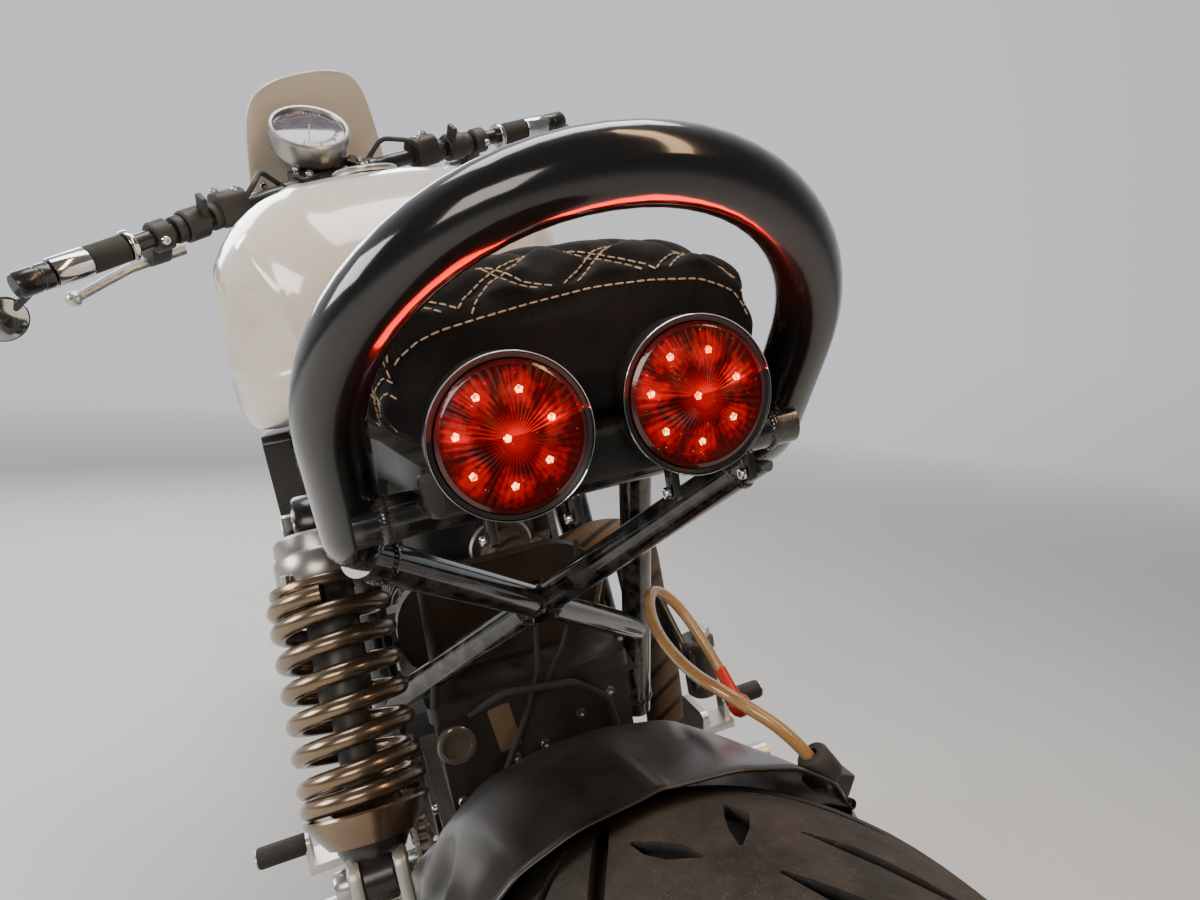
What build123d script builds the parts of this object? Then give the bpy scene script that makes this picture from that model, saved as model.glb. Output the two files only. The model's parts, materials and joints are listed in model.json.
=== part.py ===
from build123d import *
import math
import os

# Cafe racer motorcycle, in millimetres. Every piece is drawn upright: x forward from the rear
# axle, y to the left of the middle plane, z up from the road. At the end the whole machine is
# leaned onto its side stand, with the steering turned left onto its stop.

# Stance
WHEELBASE = 1430.0
RAKE = 24.5
TRAIL = 98.0
STEER_STOP = 28.0
LEAN = 13.77

# Clearances: pieces that are bolted together, pieces that turn on an axle
SEAT_GAP = 0.2
AXLE_RUN = 0.05

# Tyres: outer radius, width, radius of the crown, width at the bead
REAR_TYRE_R, REAR_TYRE_W, REAR_CROWN_R, REAR_BEAD_W = 316.0, 180.0, 135.0, 140.0
FRONT_TYRE_R, FRONT_TYRE_W, FRONT_CROWN_R, FRONT_BEAD_W = 300.0, 120.0, 66.0, 89.0
BEAD_R = 222.0

# Cast wheels
FLANGE_R, FLANGE_T = 232.0, 7.0
BARREL_R = 205.0
SPOKE_PAIRS = 5
SPOKE_SPREAD = 14.0
NOSE_R = 34.0

# Axles, hubs, discs, sprocket
REAR_AXLE_R, REAR_AXLE_BORE_R = 12.5, 8.0
FRONT_AXLE_R, FRONT_AXLE_BORE_R = 12.5, 9.0
REAR_HUB_HALF = 111.0
FRONT_HUB_HALF = 76.0
REAR_DISC_Y, REAR_DISC_R, FRONT_DISC_Y, FRONT_DISC_R, DISC_T = 103.0, 122.5, 69.0, 155.0, 5.0
PAD_GAP = 2.5
SPROCKET_Y, SPROCKET_T, SPROCKET_R, SPROCKET_TEETH = 103.0, 6.0, 93.0, 38

# Drive chain
CHAIN_Y, CHAIN_W, CHAIN_PITCH_R, CHAIN_DEPTH = 106.0, 16.0, 99.5, 12.0
FRONT_SPROCKET = (555.0, 372.0)
FRONT_SPROCKET_R = 40.0

# Tail frame
RAIL_D = 28.6
RAIL_Y, RAIL_Z, RAIL_FRONT_X = 105.0, 752.0, 588.0
HOOP_X = 172.0
HOOP_INCLINE = 49.5
HOOP_LENGTH = 178.0
HOOP_CORNER_R, HOOP_BEND_R = 104.0, 45.0
BRACE_D = 21.0
BRACE_END = (442.0, 105.0, 550.0)
CROSS_TUBE = (142.0, 768.0)
CROSS_TUBE_D = 20.0

# Trellis frame
TRELLIS_D, TRELLIS_THIN_D = 32.0, 25.0
TUNNEL_ROOF_Z = 846.0
HEAD_R = 28.0

# Swing arm
ARM_INNER, ARM_OUTER = 122.0, 150.0
PIVOT_X, PIVOT_Z, PIVOT_R = 470.0, 385.0, 10.0

# Shock
SHOCK_TOP = (340.0, 126.0, 730.0)
SHOCK_EYE = (248.0, 134.0, 540.0)
SHOCK_BOLT_R = 6.0
SHOCK_EYE_HALF = 9.0
SPRING_D, WIRE_D, SPRING_COILS = 74.0, 11.0, 7.5
SPRING_LOW, SPRING_HIGH = 44.0, 166.0
DAMPER_R = 16.0

# Engine
CRANK_X, CRANK_Z = 690.0, 360.0
FRONT_CYLINDER_ANGLE, REAR_CYLINDER_ANGLE = 15.0, 105.0
CASE_HALF = 88.0
FINS, FIN_PITCH, FIN_T = 9, 12.0, 4.0
HEAD_HALF, PORT_Y, PORT_UP = 62.0, -22.0, 288.0
HEADER_D = 42.0

# Seat and tail panel
SEAT_REAR_X, SEAT_BOTTOM_Z = 118.0, 790.0
TRAY_BOTTOM_Z = RAIL_Z + RAIL_D / 2 + 0.1

# Tail lamps
LAMP_Y, LAMP_Z, LAMP_R, LAMP_DEPTH = 40.0, 798.0, 33.5, 19.0
LAMP_BACK_X = SEAT_REAR_X - 0.3
LAMP_WALL = 2.5

# Rear mudguard
HUGGER_HALF, HUGGER_T, HUGGER_EDGE_R = ARM_INNER - SEAT_GAP, 4.0, 58.0

# Steering group, in its own frame: x forward of the steering axis, z along it from the road
SIN_RAKE, COS_RAKE = math.sin(math.radians(RAKE)), math.cos(math.radians(RAKE))
FORK_OFFSET = FRONT_TYRE_R * SIN_RAKE - TRAIL * COS_RAKE
FRONT_AXLE_U = FRONT_TYRE_R * COS_RAKE + TRAIL * SIN_RAKE
LEG_Y = 100.0
STANCHION_R, LEG_R = 21.5, 27.0
LEG_SPLIT_U = 600.0
LOWER_YOKE_U, TOP_YOKE_U, YOKE_T = 846.0, 1050.0, 26.0
HEAD_LOW, HEAD_HIGH = LOWER_YOKE_U + YOKE_T + 8, TOP_YOKE_U - 10
STEM_R = 15.0
BAR_U, BAR_F, BAR_D, BAR_CLAMP_D = TOP_YOKE_U + 75, 45.0, 22.2, 28.6
BAR_BEND_L, BAR_END_F, BAR_END_L = 110.0, 8.0, 398.0
GRIP_R, GRIP_START, GRIP_END = 16.5, BAR_END_L - 92, BAR_END_L - 2
PERCH_L, LEVER_L = BAR_END_L - 152, BAR_END_L - 136
HEADLAMP_F, HEADLAMP_U, HEADLAMP_R = 138.0, TOP_YOKE_U - 90, 84.0
GAUGE_F, GAUGE_U, GAUGE_R, GAUGE_TILT, GAUGE_DEPTH = 76.0, TOP_YOKE_U + 141, 56.0, 20.5, 26.0
SCREEN_F, SCREEN_SHIFT, SCREEN_U = 142.0, -42.0, TOP_YOKE_U + 32

# Side stand: hinge on the upright machine, foot on the road of the leaning one
STAND_PIVOT = (560.0, 122.0, 236.0)
STAND_FOOT = (640.0, 305.0)
STAND_FOLDED = (-0.99, 0.1, 0.06)
STAND_BOLT_R, STAND_HEAD_R, STAND_HEAD_T, STAND_LEG_D = 6.0, 17.0, 14.0, 20.0
FOOT_R, FOOT_T = 24.0, 8.0

STEER_PLACE = Pos(WHEELBASE + TRAIL, 0, 0) * Rot(0, -RAKE, 0)
STEERED = STEER_PLACE * Rot(0, 0, STEER_STOP)


# Drawing helpers

def tube(start, end, diameter):
    """Straight round bar from start to end."""
    start, end = Vector(*start), Vector(*end)
    plane = Plane(origin=start, z_dir=end - start)
    return extrude(plane * Circle(diameter / 2), amount=(end - start).length)


def bent_tube(points, radii, diameter):
    """Round bar along straight runs joined by tangent arcs."""
    path = FilletPolyline(*points, radius=radii)
    section = Plane(origin=path @ 0, z_dir=path % 0) * Circle(diameter / 2)
    return sweep(section, path=path)


def side_plate(outline, low_y, high_y, corner=0):
    """Plate with an outline in the xz plane, between two values of y."""
    face = Polygon(*outline, align=None)
    if corner:
        face = fillet(face.vertices(), corner)
    return Pos(0, low_y, 0) * extrude(Plane.XZ * face, amount=high_y - low_y, dir=(0, 1, 0))


def raised(face, low_z, high_z):
    """Solid over a face in the xy plane, between two heights."""
    return Pos(0, 0, low_z) * extrude(face, amount=high_z - low_z, dir=(0, 0, 1))


def block(low, high):
    """Box between two opposite corners."""
    size = [b - a for a, b in zip(low, high)]
    return Pos(*[(a + b) / 2 for a, b in zip(low, high)]) * Box(*size)


def cross_cylinder(x, z, radius, low_y, high_y):
    """Cylinder across the machine, between two values of y."""
    return Pos(x, (low_y + high_y) / 2, z) * Rot(90, 0, 0) * Cylinder(radius, high_y - low_y)


def mirror_point(point):
    return (point[0], -point[1], point[2])


def both_sides(piece):
    """The piece and its mirror image across the middle plane."""
    return piece + mirror(piece, about=Plane.XZ)


def largest(piece):
    """The biggest solid of a piece, without its offcuts."""
    return piece.solids().sort_by(SortBy.VOLUME)[-1]


def moved(place, point):
    """Where a placing carries a point."""
    return (place * Pos(*point)).position


def rounded_section(x, half_width, low_z, high_z, top_corner, low_corner):
    """Cross-section of the tank or the seat on a plane of constant x."""
    face = Polygon((-half_width, low_z), (half_width, low_z), (half_width, high_z),
                   (-half_width, high_z), align=None)
    face = fillet(face.vertices().sort_by(Axis.Y)[-2:], top_corner)
    face = fillet(face.vertices().sort_by(Axis.Y)[:2], low_corner)
    return Plane(origin=(x, 0, 0), x_dir=(0, 1, 0), z_dir=(1, 0, 0)) * face


# Wheels, drawn round the y axis

def tyre(radius, width, crown_r, bead_w, chord):
    """Tyre section turned round the axle line, its crown in chords of an equal angle."""
    half, bead = width / 2, bead_w / 2
    edge = math.degrees(math.asin(half / crown_r))
    turns = [0.0]
    while turns[-1] + 1.4 * chord < edge:
        turns.append(turns[-1] + chord)
    crown = [(radius - crown_r + crown_r * math.cos(math.radians(turn)), crown_r * math.sin(math.radians(turn)))
             for turn in turns + [edge]]
    lip = FLANGE_R + 2
    side = crown + [((crown[-1][0] + lip) / 2, half - 1), (lip, bead + FLANGE_T), (lip, bead), (BEAD_R, bead)]
    section = Polygon(*side, *[(x, -y) for x, y in reversed(side[1:])], align=None)
    return revolve(section, Axis.Y)


def rim(bead_w, hub_half, hub_r, hub_w, axle_r, spoke_t):
    """Cast wheel: barrel with flanges, pairs of spokes and a bored hub."""
    barrel = Cylinder(BEAD_R - SEAT_GAP, bead_w + 2 * FLANGE_T)
    flange = Cylinder(FLANGE_R, FLANGE_T - SEAT_GAP)
    flange_z = (bead_w + FLANGE_T + SEAT_GAP) / 2
    barrel += Pos(0, 0, flange_z) * flange + Pos(0, 0, -flange_z) * flange
    barrel -= Cylinder(BARREL_R, bead_w + 3 * FLANGE_T)
    spoke_face = Polygon((hub_r - 8, -14), (BARREL_R + 3, -8), (BARREL_R + 3, 8), (hub_r - 8, 14),
                         align=None)
    spoke = extrude(spoke_face, amount=spoke_t / 2, both=True)
    wheel = barrel + Cylinder(hub_r, hub_w) + Cylinder(NOSE_R, 2 * hub_half)
    for pair in range(SPOKE_PAIRS):
        for side in (-SPOKE_SPREAD, SPOKE_SPREAD):
            wheel += Rot(0, 0, pair * 360 / SPOKE_PAIRS + side) * spoke
    wheel -= Cylinder(axle_r + AXLE_RUN, 3 * hub_half)
    return Rot(90, 0, 0) * wheel


def ring_on_nose(radius, low_y, high_y):
    """Disc or sprocket blank that sits on the hub's nose."""
    bore = cross_cylinder(0, 0, NOSE_R + SEAT_GAP, low_y - 1, high_y + 1)
    return cross_cylinder(0, 0, radius, low_y, high_y) - bore


def rear_wheel():
    at = Pos(0, 0, REAR_TYRE_R)
    wheel = rim(REAR_BEAD_W, REAR_HUB_HALF, 52, 2 * REAR_DISC_Y, REAR_AXLE_R, 34)
    sprocket = ring_on_nose(SPROCKET_R, SPROCKET_Y, SPROCKET_Y + SPROCKET_T)
    gullet = cross_cylinder(SPROCKET_R + 2, 0, 4.6, SPROCKET_Y - 1, SPROCKET_Y + SPROCKET_T + 1)
    window = cross_cylinder(62, 0, 13, SPROCKET_Y - 1, SPROCKET_Y + SPROCKET_T + 1)
    cuts = [Rot(0, tooth * 360 / SPROCKET_TEETH, 0) * gullet for tooth in range(SPROCKET_TEETH)]
    cuts += [Rot(0, place * 60, 0) * window for place in range(6)]
    sprocket -= cuts
    return {
        "rear_rim": at * wheel,
        "rear_tyre": at * tyre(REAR_TYRE_R, REAR_TYRE_W, REAR_CROWN_R, REAR_BEAD_W, 13.77),
        "rear_sprocket": at * sprocket,
        "rear_disc": at * ring_on_nose(REAR_DISC_R, -REAR_DISC_Y - DISC_T, -REAR_DISC_Y),
    }


def front_wheel():
    at = Pos(FORK_OFFSET, 0, FRONT_AXLE_U)
    disc = ring_on_nose(FRONT_DISC_R, FRONT_DISC_Y, FRONT_DISC_Y + DISC_T)
    return {
        "front_rim": at * rim(FRONT_BEAD_W, FRONT_HUB_HALF, 44, 2 * FRONT_DISC_Y, FRONT_AXLE_R, 26),
        "front_tyre": at * tyre(FRONT_TYRE_R, FRONT_TYRE_W, FRONT_CROWN_R, FRONT_BEAD_W, 11.685),
        "front_discs": at * both_sides(disc),
    }


# Frame and tail frame

def head_joint(u):
    """Point on the headstock's left side, at a distance along the steering axis."""
    return (WHEELBASE + TRAIL - u * SIN_RAKE, 18.0, u * COS_RAKE)


TRELLIS_JOINTS = {
    # name: (x, y, z) on the left side
    "head_high": head_joint(HEAD_HIGH - 27),
    "head_low": head_joint(HEAD_LOW + 50),
    "top_mid": (945.0, 105.0, 812.0),
    "top_back": (760.0, 112.0, 765.0),
    "tail": (600.0, RAIL_Y, RAIL_Z),
    "rail_end": (RAIL_FRONT_X, RAIL_Y, RAIL_Z),
    "low_front": (990.0, 112.0, 640.0),
    "engine_front": (800.0, 128.0, 500.0),
    "engine_back": (600.0, 128.0, 470.0),
    "stay_low": (492.0, 110.0, 450.0),
    "stay_high": (362.0, RAIL_Y, RAIL_Z),
}
TRELLIS_TUBES = [
    # from, to, diameter
    ("head_high", "top_mid", TRELLIS_D),
    ("top_mid", "top_back", TRELLIS_D),
    ("top_back", "tail", TRELLIS_D),
    ("rail_end", "tail", TRELLIS_D),
    ("head_low", "low_front", TRELLIS_D),
    ("low_front", "engine_front", TRELLIS_D),
    ("engine_front", "engine_back", TRELLIS_D),
    ("engine_back", "stay_low", TRELLIS_THIN_D),
    ("head_low", "top_mid", TRELLIS_THIN_D),
    ("low_front", "top_mid", TRELLIS_THIN_D),
    ("low_front", "top_back", TRELLIS_THIN_D),
    ("engine_front", "top_back", TRELLIS_THIN_D),
    ("engine_back", "top_back", TRELLIS_THIN_D),
    ("engine_back", "tail", TRELLIS_THIN_D),
    ("stay_low", "stay_high", TRELLIS_THIN_D),
]
TRELLIS_CROSSES = ["top_back", "tail", "low_front", "top_mid"]


def hoop():
    """Tail rails and hoop, one bent tube."""
    incline = math.radians(HOOP_INCLINE)
    top = (HOOP_X - HOOP_LENGTH * math.cos(incline), RAIL_Y, RAIL_Z + HOOP_LENGTH * math.sin(incline))
    left = [(RAIL_FRONT_X, RAIL_Y, RAIL_Z), (HOOP_X, RAIL_Y, RAIL_Z), top]
    points = left + [mirror_point(point) for point in reversed(left)]
    return bent_tube(points, [HOOP_BEND_R, HOOP_CORNER_R, HOOP_CORNER_R, HOOP_BEND_R], RAIL_D)


def trellis():
    """Tubular frame with its headstock and tank saddle."""
    left = Part()
    for first, second, diameter in TRELLIS_TUBES:
        left += tube(TRELLIS_JOINTS[first], TRELLIS_JOINTS[second], diameter)
    frame = both_sides(left)
    for name in TRELLIS_CROSSES:
        frame += tube(TRELLIS_JOINTS[name], mirror_point(TRELLIS_JOINTS[name]), TRELLIS_THIN_D)
    saddle_x, _, saddle_z = TRELLIS_JOINTS["top_mid"]
    frame += block((saddle_x - 25, -30, saddle_z), (saddle_x + 25, 30, TUNNEL_ROOF_Z - SEAT_GAP))
    head = Pos(0, 0, (HEAD_LOW + HEAD_HIGH) / 2) * Cylinder(HEAD_R, HEAD_HIGH - HEAD_LOW)
    bore = Pos(0, 0, HEAD_HIGH) * Cylinder(STEM_R + AXLE_RUN, 4 * (HEAD_HIGH - HEAD_LOW))
    return frame + STEER_PLACE * head - STEER_PLACE * bore


def tail_brace():
    """Crossed brace, lamp tube and upper shock lug of the tail frame."""
    start = (HOOP_X + 4, RAIL_Y, RAIL_Z - 6)
    brace = tube(start, mirror_point(BRACE_END), BRACE_D)
    brace += tube(mirror_point(start), BRACE_END, BRACE_D)
    cross_x, cross_z = CROSS_TUBE
    brace += tube((cross_x, RAIL_Y, cross_z), (cross_x, -RAIL_Y, cross_z), CROSS_TUBE_D)
    x, y, z = SHOCK_TOP
    lug = [(x - 15, z - 15), (x + 15, z - 15), (x + 24, RAIL_Z), (x - 24, RAIL_Z)]
    return brace + side_plate(lug, RAIL_Y - 4, y - DAMPER_R - SEAT_GAP)


# Swing arm, spindle, rear axle and shock

def swing_arm():
    """Two-sided arm with a braced lug for the shock on its left."""
    outline = [(-46, 300), (-46, 334), (60, 352), (250, 398), (400, 414), (470, 415), (502, 400),
               (502, 368), (470, 352), (380, 344), (60, 300)]
    arm = both_sides(side_plate(outline, ARM_INNER, ARM_OUTER, 6))
    arm += block((350, -ARM_INNER - 1, 346), (392, ARM_INNER + 1, 390))
    x, y, z = SHOCK_EYE
    for foot in ((110, 136, 350), (372, 136, 400)):
        arm += tube(foot, (x, 136, z - 26), 22)
    ears = side_plate([(x - 24, z - 36), (x + 24, z - 36), (x + 14, z + 14), (x - 14, z + 14)],
                      ARM_INNER, ARM_OUTER, 4)
    gap = SHOCK_EYE_HALF + SEAT_GAP
    arm += ears - block((x - 40, y - gap, z - 20), (x + 40, y + gap, z + 40))
    arm -= cross_cylinder(x, z, SHOCK_BOLT_R + SEAT_GAP, 60, 200)
    arm -= cross_cylinder(0, REAR_TYRE_R, REAR_AXLE_R + SEAT_GAP, -200, 200)
    return arm - cross_cylinder(PIVOT_X, PIVOT_Z, PIVOT_R + SEAT_GAP, -200, 200)


def swing_arm_spindle():
    piece = cross_cylinder(PIVOT_X, PIVOT_Z, PIVOT_R, -158, 158)
    piece += both_sides(cross_cylinder(PIVOT_X, PIVOT_Z, 15, ARM_OUTER + SEAT_GAP, 158))
    spacer = cross_cylinder(PIVOT_X, PIVOT_Z, 14, CASE_HALF + SEAT_GAP, ARM_INNER - SEAT_GAP)
    return piece + both_sides(spacer)


def rear_axle():
    z = REAR_TYRE_R
    piece = cross_cylinder(0, z, REAR_AXLE_R, -164, 164)
    piece += both_sides(cross_cylinder(0, z, 19, REAR_HUB_HALF + 0.4, ARM_INNER - SEAT_GAP))
    piece += both_sides(cross_cylinder(0, z, 21, ARM_OUTER + SEAT_GAP, 162))
    return piece - cross_cylinder(0, z, REAR_AXLE_BORE_R, -200, 200)


def shock():
    """Damper with its eye, spring cup and head, and the coil spring round it."""
    eye, top = Vector(*SHOCK_EYE), Vector(*SHOCK_TOP)
    axis = Plane(origin=eye, z_dir=top - eye).location
    length = (top - eye).length
    cup_r = SPRING_D / 2
    body = Pos(0, 0, SPRING_LOW / 2) * Cylinder(14, SPRING_LOW)
    body += Pos(0, 0, SPRING_LOW - 11) * Cone(20, cup_r, 22)
    body += Pos(0, 0, (SPRING_LOW + length) / 2) * Cylinder(DAMPER_R, length - SPRING_LOW)
    body += Pos(0, 0, SPRING_HIGH + 5) * Cylinder(cup_r - 4, 10)
    body = axis * body
    body -= block((eye.X - 40, eye.Y - 40, eye.Z - 40), (eye.X + 40, eye.Y - SHOCK_EYE_HALF, eye.Z + 17))
    body -= block((eye.X - 40, eye.Y + SHOCK_EYE_HALF, eye.Z - 40), (eye.X + 40, eye.Y + 40, eye.Z + 17))
    body += cross_cylinder(eye.X, eye.Z, 15, eye.Y - SHOCK_EYE_HALF, eye.Y + SHOCK_EYE_HALF)
    bolt = cross_cylinder(eye.X, eye.Z, SHOCK_BOLT_R, ARM_INNER, ARM_OUTER + 5)
    bolt += cross_cylinder(top.X, top.Z, SHOCK_BOLT_R, RAIL_Y - 4, top.Y + DAMPER_R + 6)
    pitch = (SPRING_HIGH - SPRING_LOW - WIRE_D - 1.2) / SPRING_COILS
    path = Helix(pitch=pitch, height=pitch * SPRING_COILS, radius=(SPRING_D - WIRE_D) / 2)
    section = Plane(origin=path @ 0, z_dir=path % 0) * RegularPolygon(WIRE_D / 2, 8)
    wire = sweep(section, path=path, is_frenet=True)
    room = axis * (Pos(0, 0, 90) * Cylinder(cup_r + 7, 230))
    return body + bolt, axis * (Pos(0, 0, SPRING_LOW + WIRE_D / 2 + 0.6) * wire), room


# Engine and exhaust

def engine_cases():
    outline = [(446, 350), (446, 408), (500, 428), (560, 452), (640, 470), (800, 462), (856, 400),
               (846, 300), (780, 214), (600, 200), (520, 260), (480, 340)]
    cases = side_plate(outline, -CASE_HALF, CASE_HALF, 12)
    cases += cross_cylinder(CRANK_X + 20, CRANK_Z, 92, -118, 118)
    cases += cross_cylinder(*FRONT_SPROCKET, 56, -CASE_HALF, 92)
    for name in ("engine_front", "engine_back"):
        x, y, z = TRELLIS_JOINTS[name]
        cases += block((x - 14, -y, z - 50), (x + 14, y, z))
    return cases - cross_cylinder(PIVOT_X, PIVOT_Z, PIVOT_R + SEAT_GAP, -200, 200)


def cylinder(angle, port_side):
    """Finned barrel and head, drawn up the z axis, then turned to its angle in the V."""
    piece = Pos(0, 0, 175) * Box(100, 104, 110)
    barrel_fin = extrude(fillet(Rectangle(146, 146).vertices(), 26), amount=FIN_T)
    head_fin = extrude(fillet(Rectangle(150, 152).vertices(), 30), amount=FIN_T)
    for index in range(FINS):
        piece += Pos(0, 0, 128 + index * FIN_PITCH) * barrel_fin
    head = fillet(Rectangle(2 * HEAD_HALF, 2 * HEAD_HALF).vertices(), 20)
    piece += Pos(0, 0, 228) * extrude(head, amount=90)
    for index in range(4):
        piece += Pos(0, 0, 240 + index * FIN_PITCH) * head_fin
    piece += Pos(0, 0, 322) * Box(96, 104, 12)
    piece -= Pos(port_side * (HEAD_HALF + 20), PORT_Y, PORT_UP) * Box(40, HEADER_D + 18, HEADER_D + 18)
    return Pos(CRANK_X, 0, CRANK_Z) * Rot(0, 90 - angle, 0) * piece


def port(angle, port_side, reach):
    """Point on the centre line of a head's exhaust port."""
    place = Pos(CRANK_X, 0, CRANK_Z) * Rot(0, 90 - angle, 0)
    return tuple(moved(place, (port_side * (HEAD_HALF + reach), PORT_Y, PORT_UP)))


HEADER_ROUTES = [
    # angle of the cylinder, side of its port, corners down to the collector, bend radii
    (REAR_CYLINDER_ANGLE, -1, [(486, -130, 625), (592, -172, 430), (604, -172, 270), (664, -142, 186)],
     [44, 44, 80, 50]),
    (FRONT_CYLINDER_ANGLE, 1, [(900, -100, 180), (690, -142, 180)], [60, 60]),
]
COLLECTOR = (664.0, -142.0, 180.0)


def exhaust_headers():
    """Pipes from both heads into one collector ahead of the silencer."""
    pipes = Pos(*COLLECTOR) * Rot(0, 90, 0) * Cylinder(34, 72)
    for angle, port_side, corners, radii in HEADER_ROUTES:
        route = [port(angle, port_side, 0.2), port(angle, port_side, 74)] + corners
        pipes += bent_tube(route, radii, HEADER_D)
    return pipes


def silencer(radius=46.0, hollow=True):
    start, end = Vector(632, -142, 180), Vector(408, -166, 226)
    axis = Plane(origin=start, z_dir=end - start).location
    length = (end - start).length
    can = Pos(0, 0, length / 2) * Cylinder(radius, length)
    if hollow:
        can -= Pos(0, 0, length) * Cylinder(30, 80)
    return axis * can


# Tank, seat and tail

TANK_SECTIONS = [
    # x, half width, low z, high z, top corner, low corner
    (600.0, 96.0, 800.0, 912.0, 50.0, 12.0),
    (690.0, 168.0, 752.0, 975.0, 66.0, 18.0),
    (790.0, 190.0, 744.0, 1000.0, 72.0, 22.0),
    (900.0, 184.0, 740.0, 998.0, 72.0, 22.0),
    (1010.0, 124.0, 762.0, 966.0, 60.0, 16.0),
]
SEAT_SECTIONS = [
    # x, half width, low z, high z, top corner, low corner
    (SEAT_REAR_X, 78.0, SEAT_BOTTOM_Z, 850.0, 20.0, 5.0),
    (200.0, 102.0, SEAT_BOTTOM_Z, 866.0, 26.0, 5.0),
    (400.0, 116.0, SEAT_BOTTOM_Z, 862.0, 28.0, 5.0),
    (599.5, 95.0, SEAT_BOTTOM_Z, 892.0, 34.0, 5.0),
]


def fuel_tank():
    """Tank with the tunnel that straddles the frame's top tubes."""
    tank = loft(Sketch() + [rounded_section(*row) for row in TANK_SECTIONS])
    roof = [(560, 700), (560, TUNNEL_ROOF_Z), (965, TUNNEL_ROOF_Z), (1100, 960), (1100, 700)]
    plan = Polygon((560, -136), (950, -130), (1010, -98), (1100, -52), (1100, 52), (1010, 98),
                   (950, 130), (560, 136), align=None)
    return tank - (side_plate(roof, -140, 140) & raised(plan, 600, 1100))


def fuel_cap():
    return Pos(830, 0, 1000 + 6) * Cylinder(34, 12)


def seat():
    return loft(Sketch() + [rounded_section(*row) for row in SEAT_SECTIONS])


def tail_panel():
    """Tray under the seat, whose rear face carries the lamps."""
    plan = Polygon((SEAT_REAR_X, -76), (230, -84), (260, -100), (585, -92), (585, 92), (260, 100),
                   (230, 84), (SEAT_REAR_X, 76), align=None)
    tray = raised(plan, TRAY_BOTTOM_Z, SEAT_BOTTOM_Z - SEAT_GAP)
    return tray - cross_cylinder(*CROSS_TUBE, CROSS_TUBE_D / 2 + SEAT_GAP, -200, 200)


def lamps():
    """Two round cups with tabs down to the cross tube, and their lenses."""
    front = LAMP_BACK_X - LAMP_DEPTH
    cup = Pos(LAMP_BACK_X - LAMP_DEPTH / 2, 0, 0) * Rot(0, 90, 0) * Cylinder(LAMP_R, LAMP_DEPTH)
    well = Pos(front + 6, 0, 0) * Rot(0, 90, 0) * Cylinder(LAMP_R - LAMP_WALL, 12.2)
    for tab_y in (-18, 18):
        cup += block((103, tab_y - 4, -LAMP_R - 14), (111, tab_y + 4, -LAMP_R + 6))
    lens = Pos(front + 5, 0, 0) * Rot(0, 90, 0) * Cylinder(LAMP_R - LAMP_WALL - SEAT_GAP, 12)
    lens += Pos(front - 3, 0, 0) * Rot(0, -90, 0) * Cone(LAMP_R - LAMP_WALL - SEAT_GAP, LAMP_R - 12, 4)
    spots = [Pos(0, side * LAMP_Y, LAMP_Z) for side in (1, -1)]
    return Compound([spot * (cup - well) for spot in spots]), Compound([spot * lens for spot in spots])


def side_scoop():
    outline = [(790, 736), (905, 732), (880, 640), (830, 612), (800, 640)]
    return both_sides(side_plate(outline, 146, 176, 10) + cross_cylinder(850, 716, 9, 112, 148))


def hugger():
    """Rear mudguard over the front of the tyre, its flanks between the arms."""
    outer = [(150, 612), (305, 564), (392, 480), (394, 430), (300, 398), (220, 470), (156, 560)]
    inner = [(100, 624), (303, 560), (388, 478), (390, 300), (200, 300), (100, 500)]
    shells = []
    for outline, half, radius in ((outer, HUGGER_HALF, HUGGER_EDGE_R),
                                  (inner, HUGGER_HALF - HUGGER_T, HUGGER_EDGE_R - HUGGER_T)):
        shell = side_plate(outline, -half, half)
        top = [edge for edge in shell.edges() if abs(abs(edge.center().Y) - half) < 0.1
               and edge.center().Z > 515 and edge.center().X > 200]
        shells.append(fillet(top, radius))
    return shells[0] - shells[1]


HOSE_ROUTE = [(96, -108, 446.2), (112, -108, 505), (126, -106, 556), (136, -84, 606), (156, -60, 628),
              (196, -52, 630), (236, -50, 642), (266, -62, 654), (276, -80, 640), (262, -92, 612),
              (244, -98, 580)]
HOSE_D = 7.0


def rear_hose():
    """Rear brake hose, held by a clip on the mudguard."""
    radii = []
    runs = [Vector(*b) - Vector(*a) for a, b in zip(HOSE_ROUTE, HOSE_ROUTE[1:])]
    for before, after in zip(runs, runs[1:]):
        turn = math.radians(before.get_angle(after))
        radii.append(0.45 * min(before.length, after.length) / math.tan(turn / 2))
    print("hose radii", [round(radius) for radius in radii])
    return bent_tube(HOSE_ROUTE, radii, HOSE_D)


def rear_caliper():
    z = REAR_TYRE_R + 108
    body = block((64, -ARM_INNER + SEAT_GAP, z - 38), (126, -88, z + 22))
    body += block((70, -ARM_INNER + SEAT_GAP, z - 94), (112, -REAR_DISC_Y - DISC_T - 4, z))
    return body - cross_cylinder(0, REAR_TYRE_R, REAR_DISC_R + 5, -REAR_DISC_Y - DISC_T - PAD_GAP,
                                 -REAR_DISC_Y + PAD_GAP)


def brake_reservoir():
    return Pos(300, -106, 576) * Cylinder(14, 34) + Pos(300, -106, 595) * Cylinder(17, 9)


def rearsets():
    """Foot pegs on their hangers, with the toe pegs."""
    left = side_plate([(452, 442), (500, 442), (510, 380), (518, 350), (500, 330), (480, 334)], 159, 165, 6)
    left += cross_cylinder(502, 350, 11, 164, 240)
    left += block((478, 164, 404), (506, 200, 412)) + cross_cylinder(496, 424, 8, 196, 240)
    left += block((488, 196, 404), (504, 201, 424))
    left += cross_cylinder(PIVOT_X, PIVOT_Z, 12, 158 + SEAT_GAP, 160)
    return both_sides(left)


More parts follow.
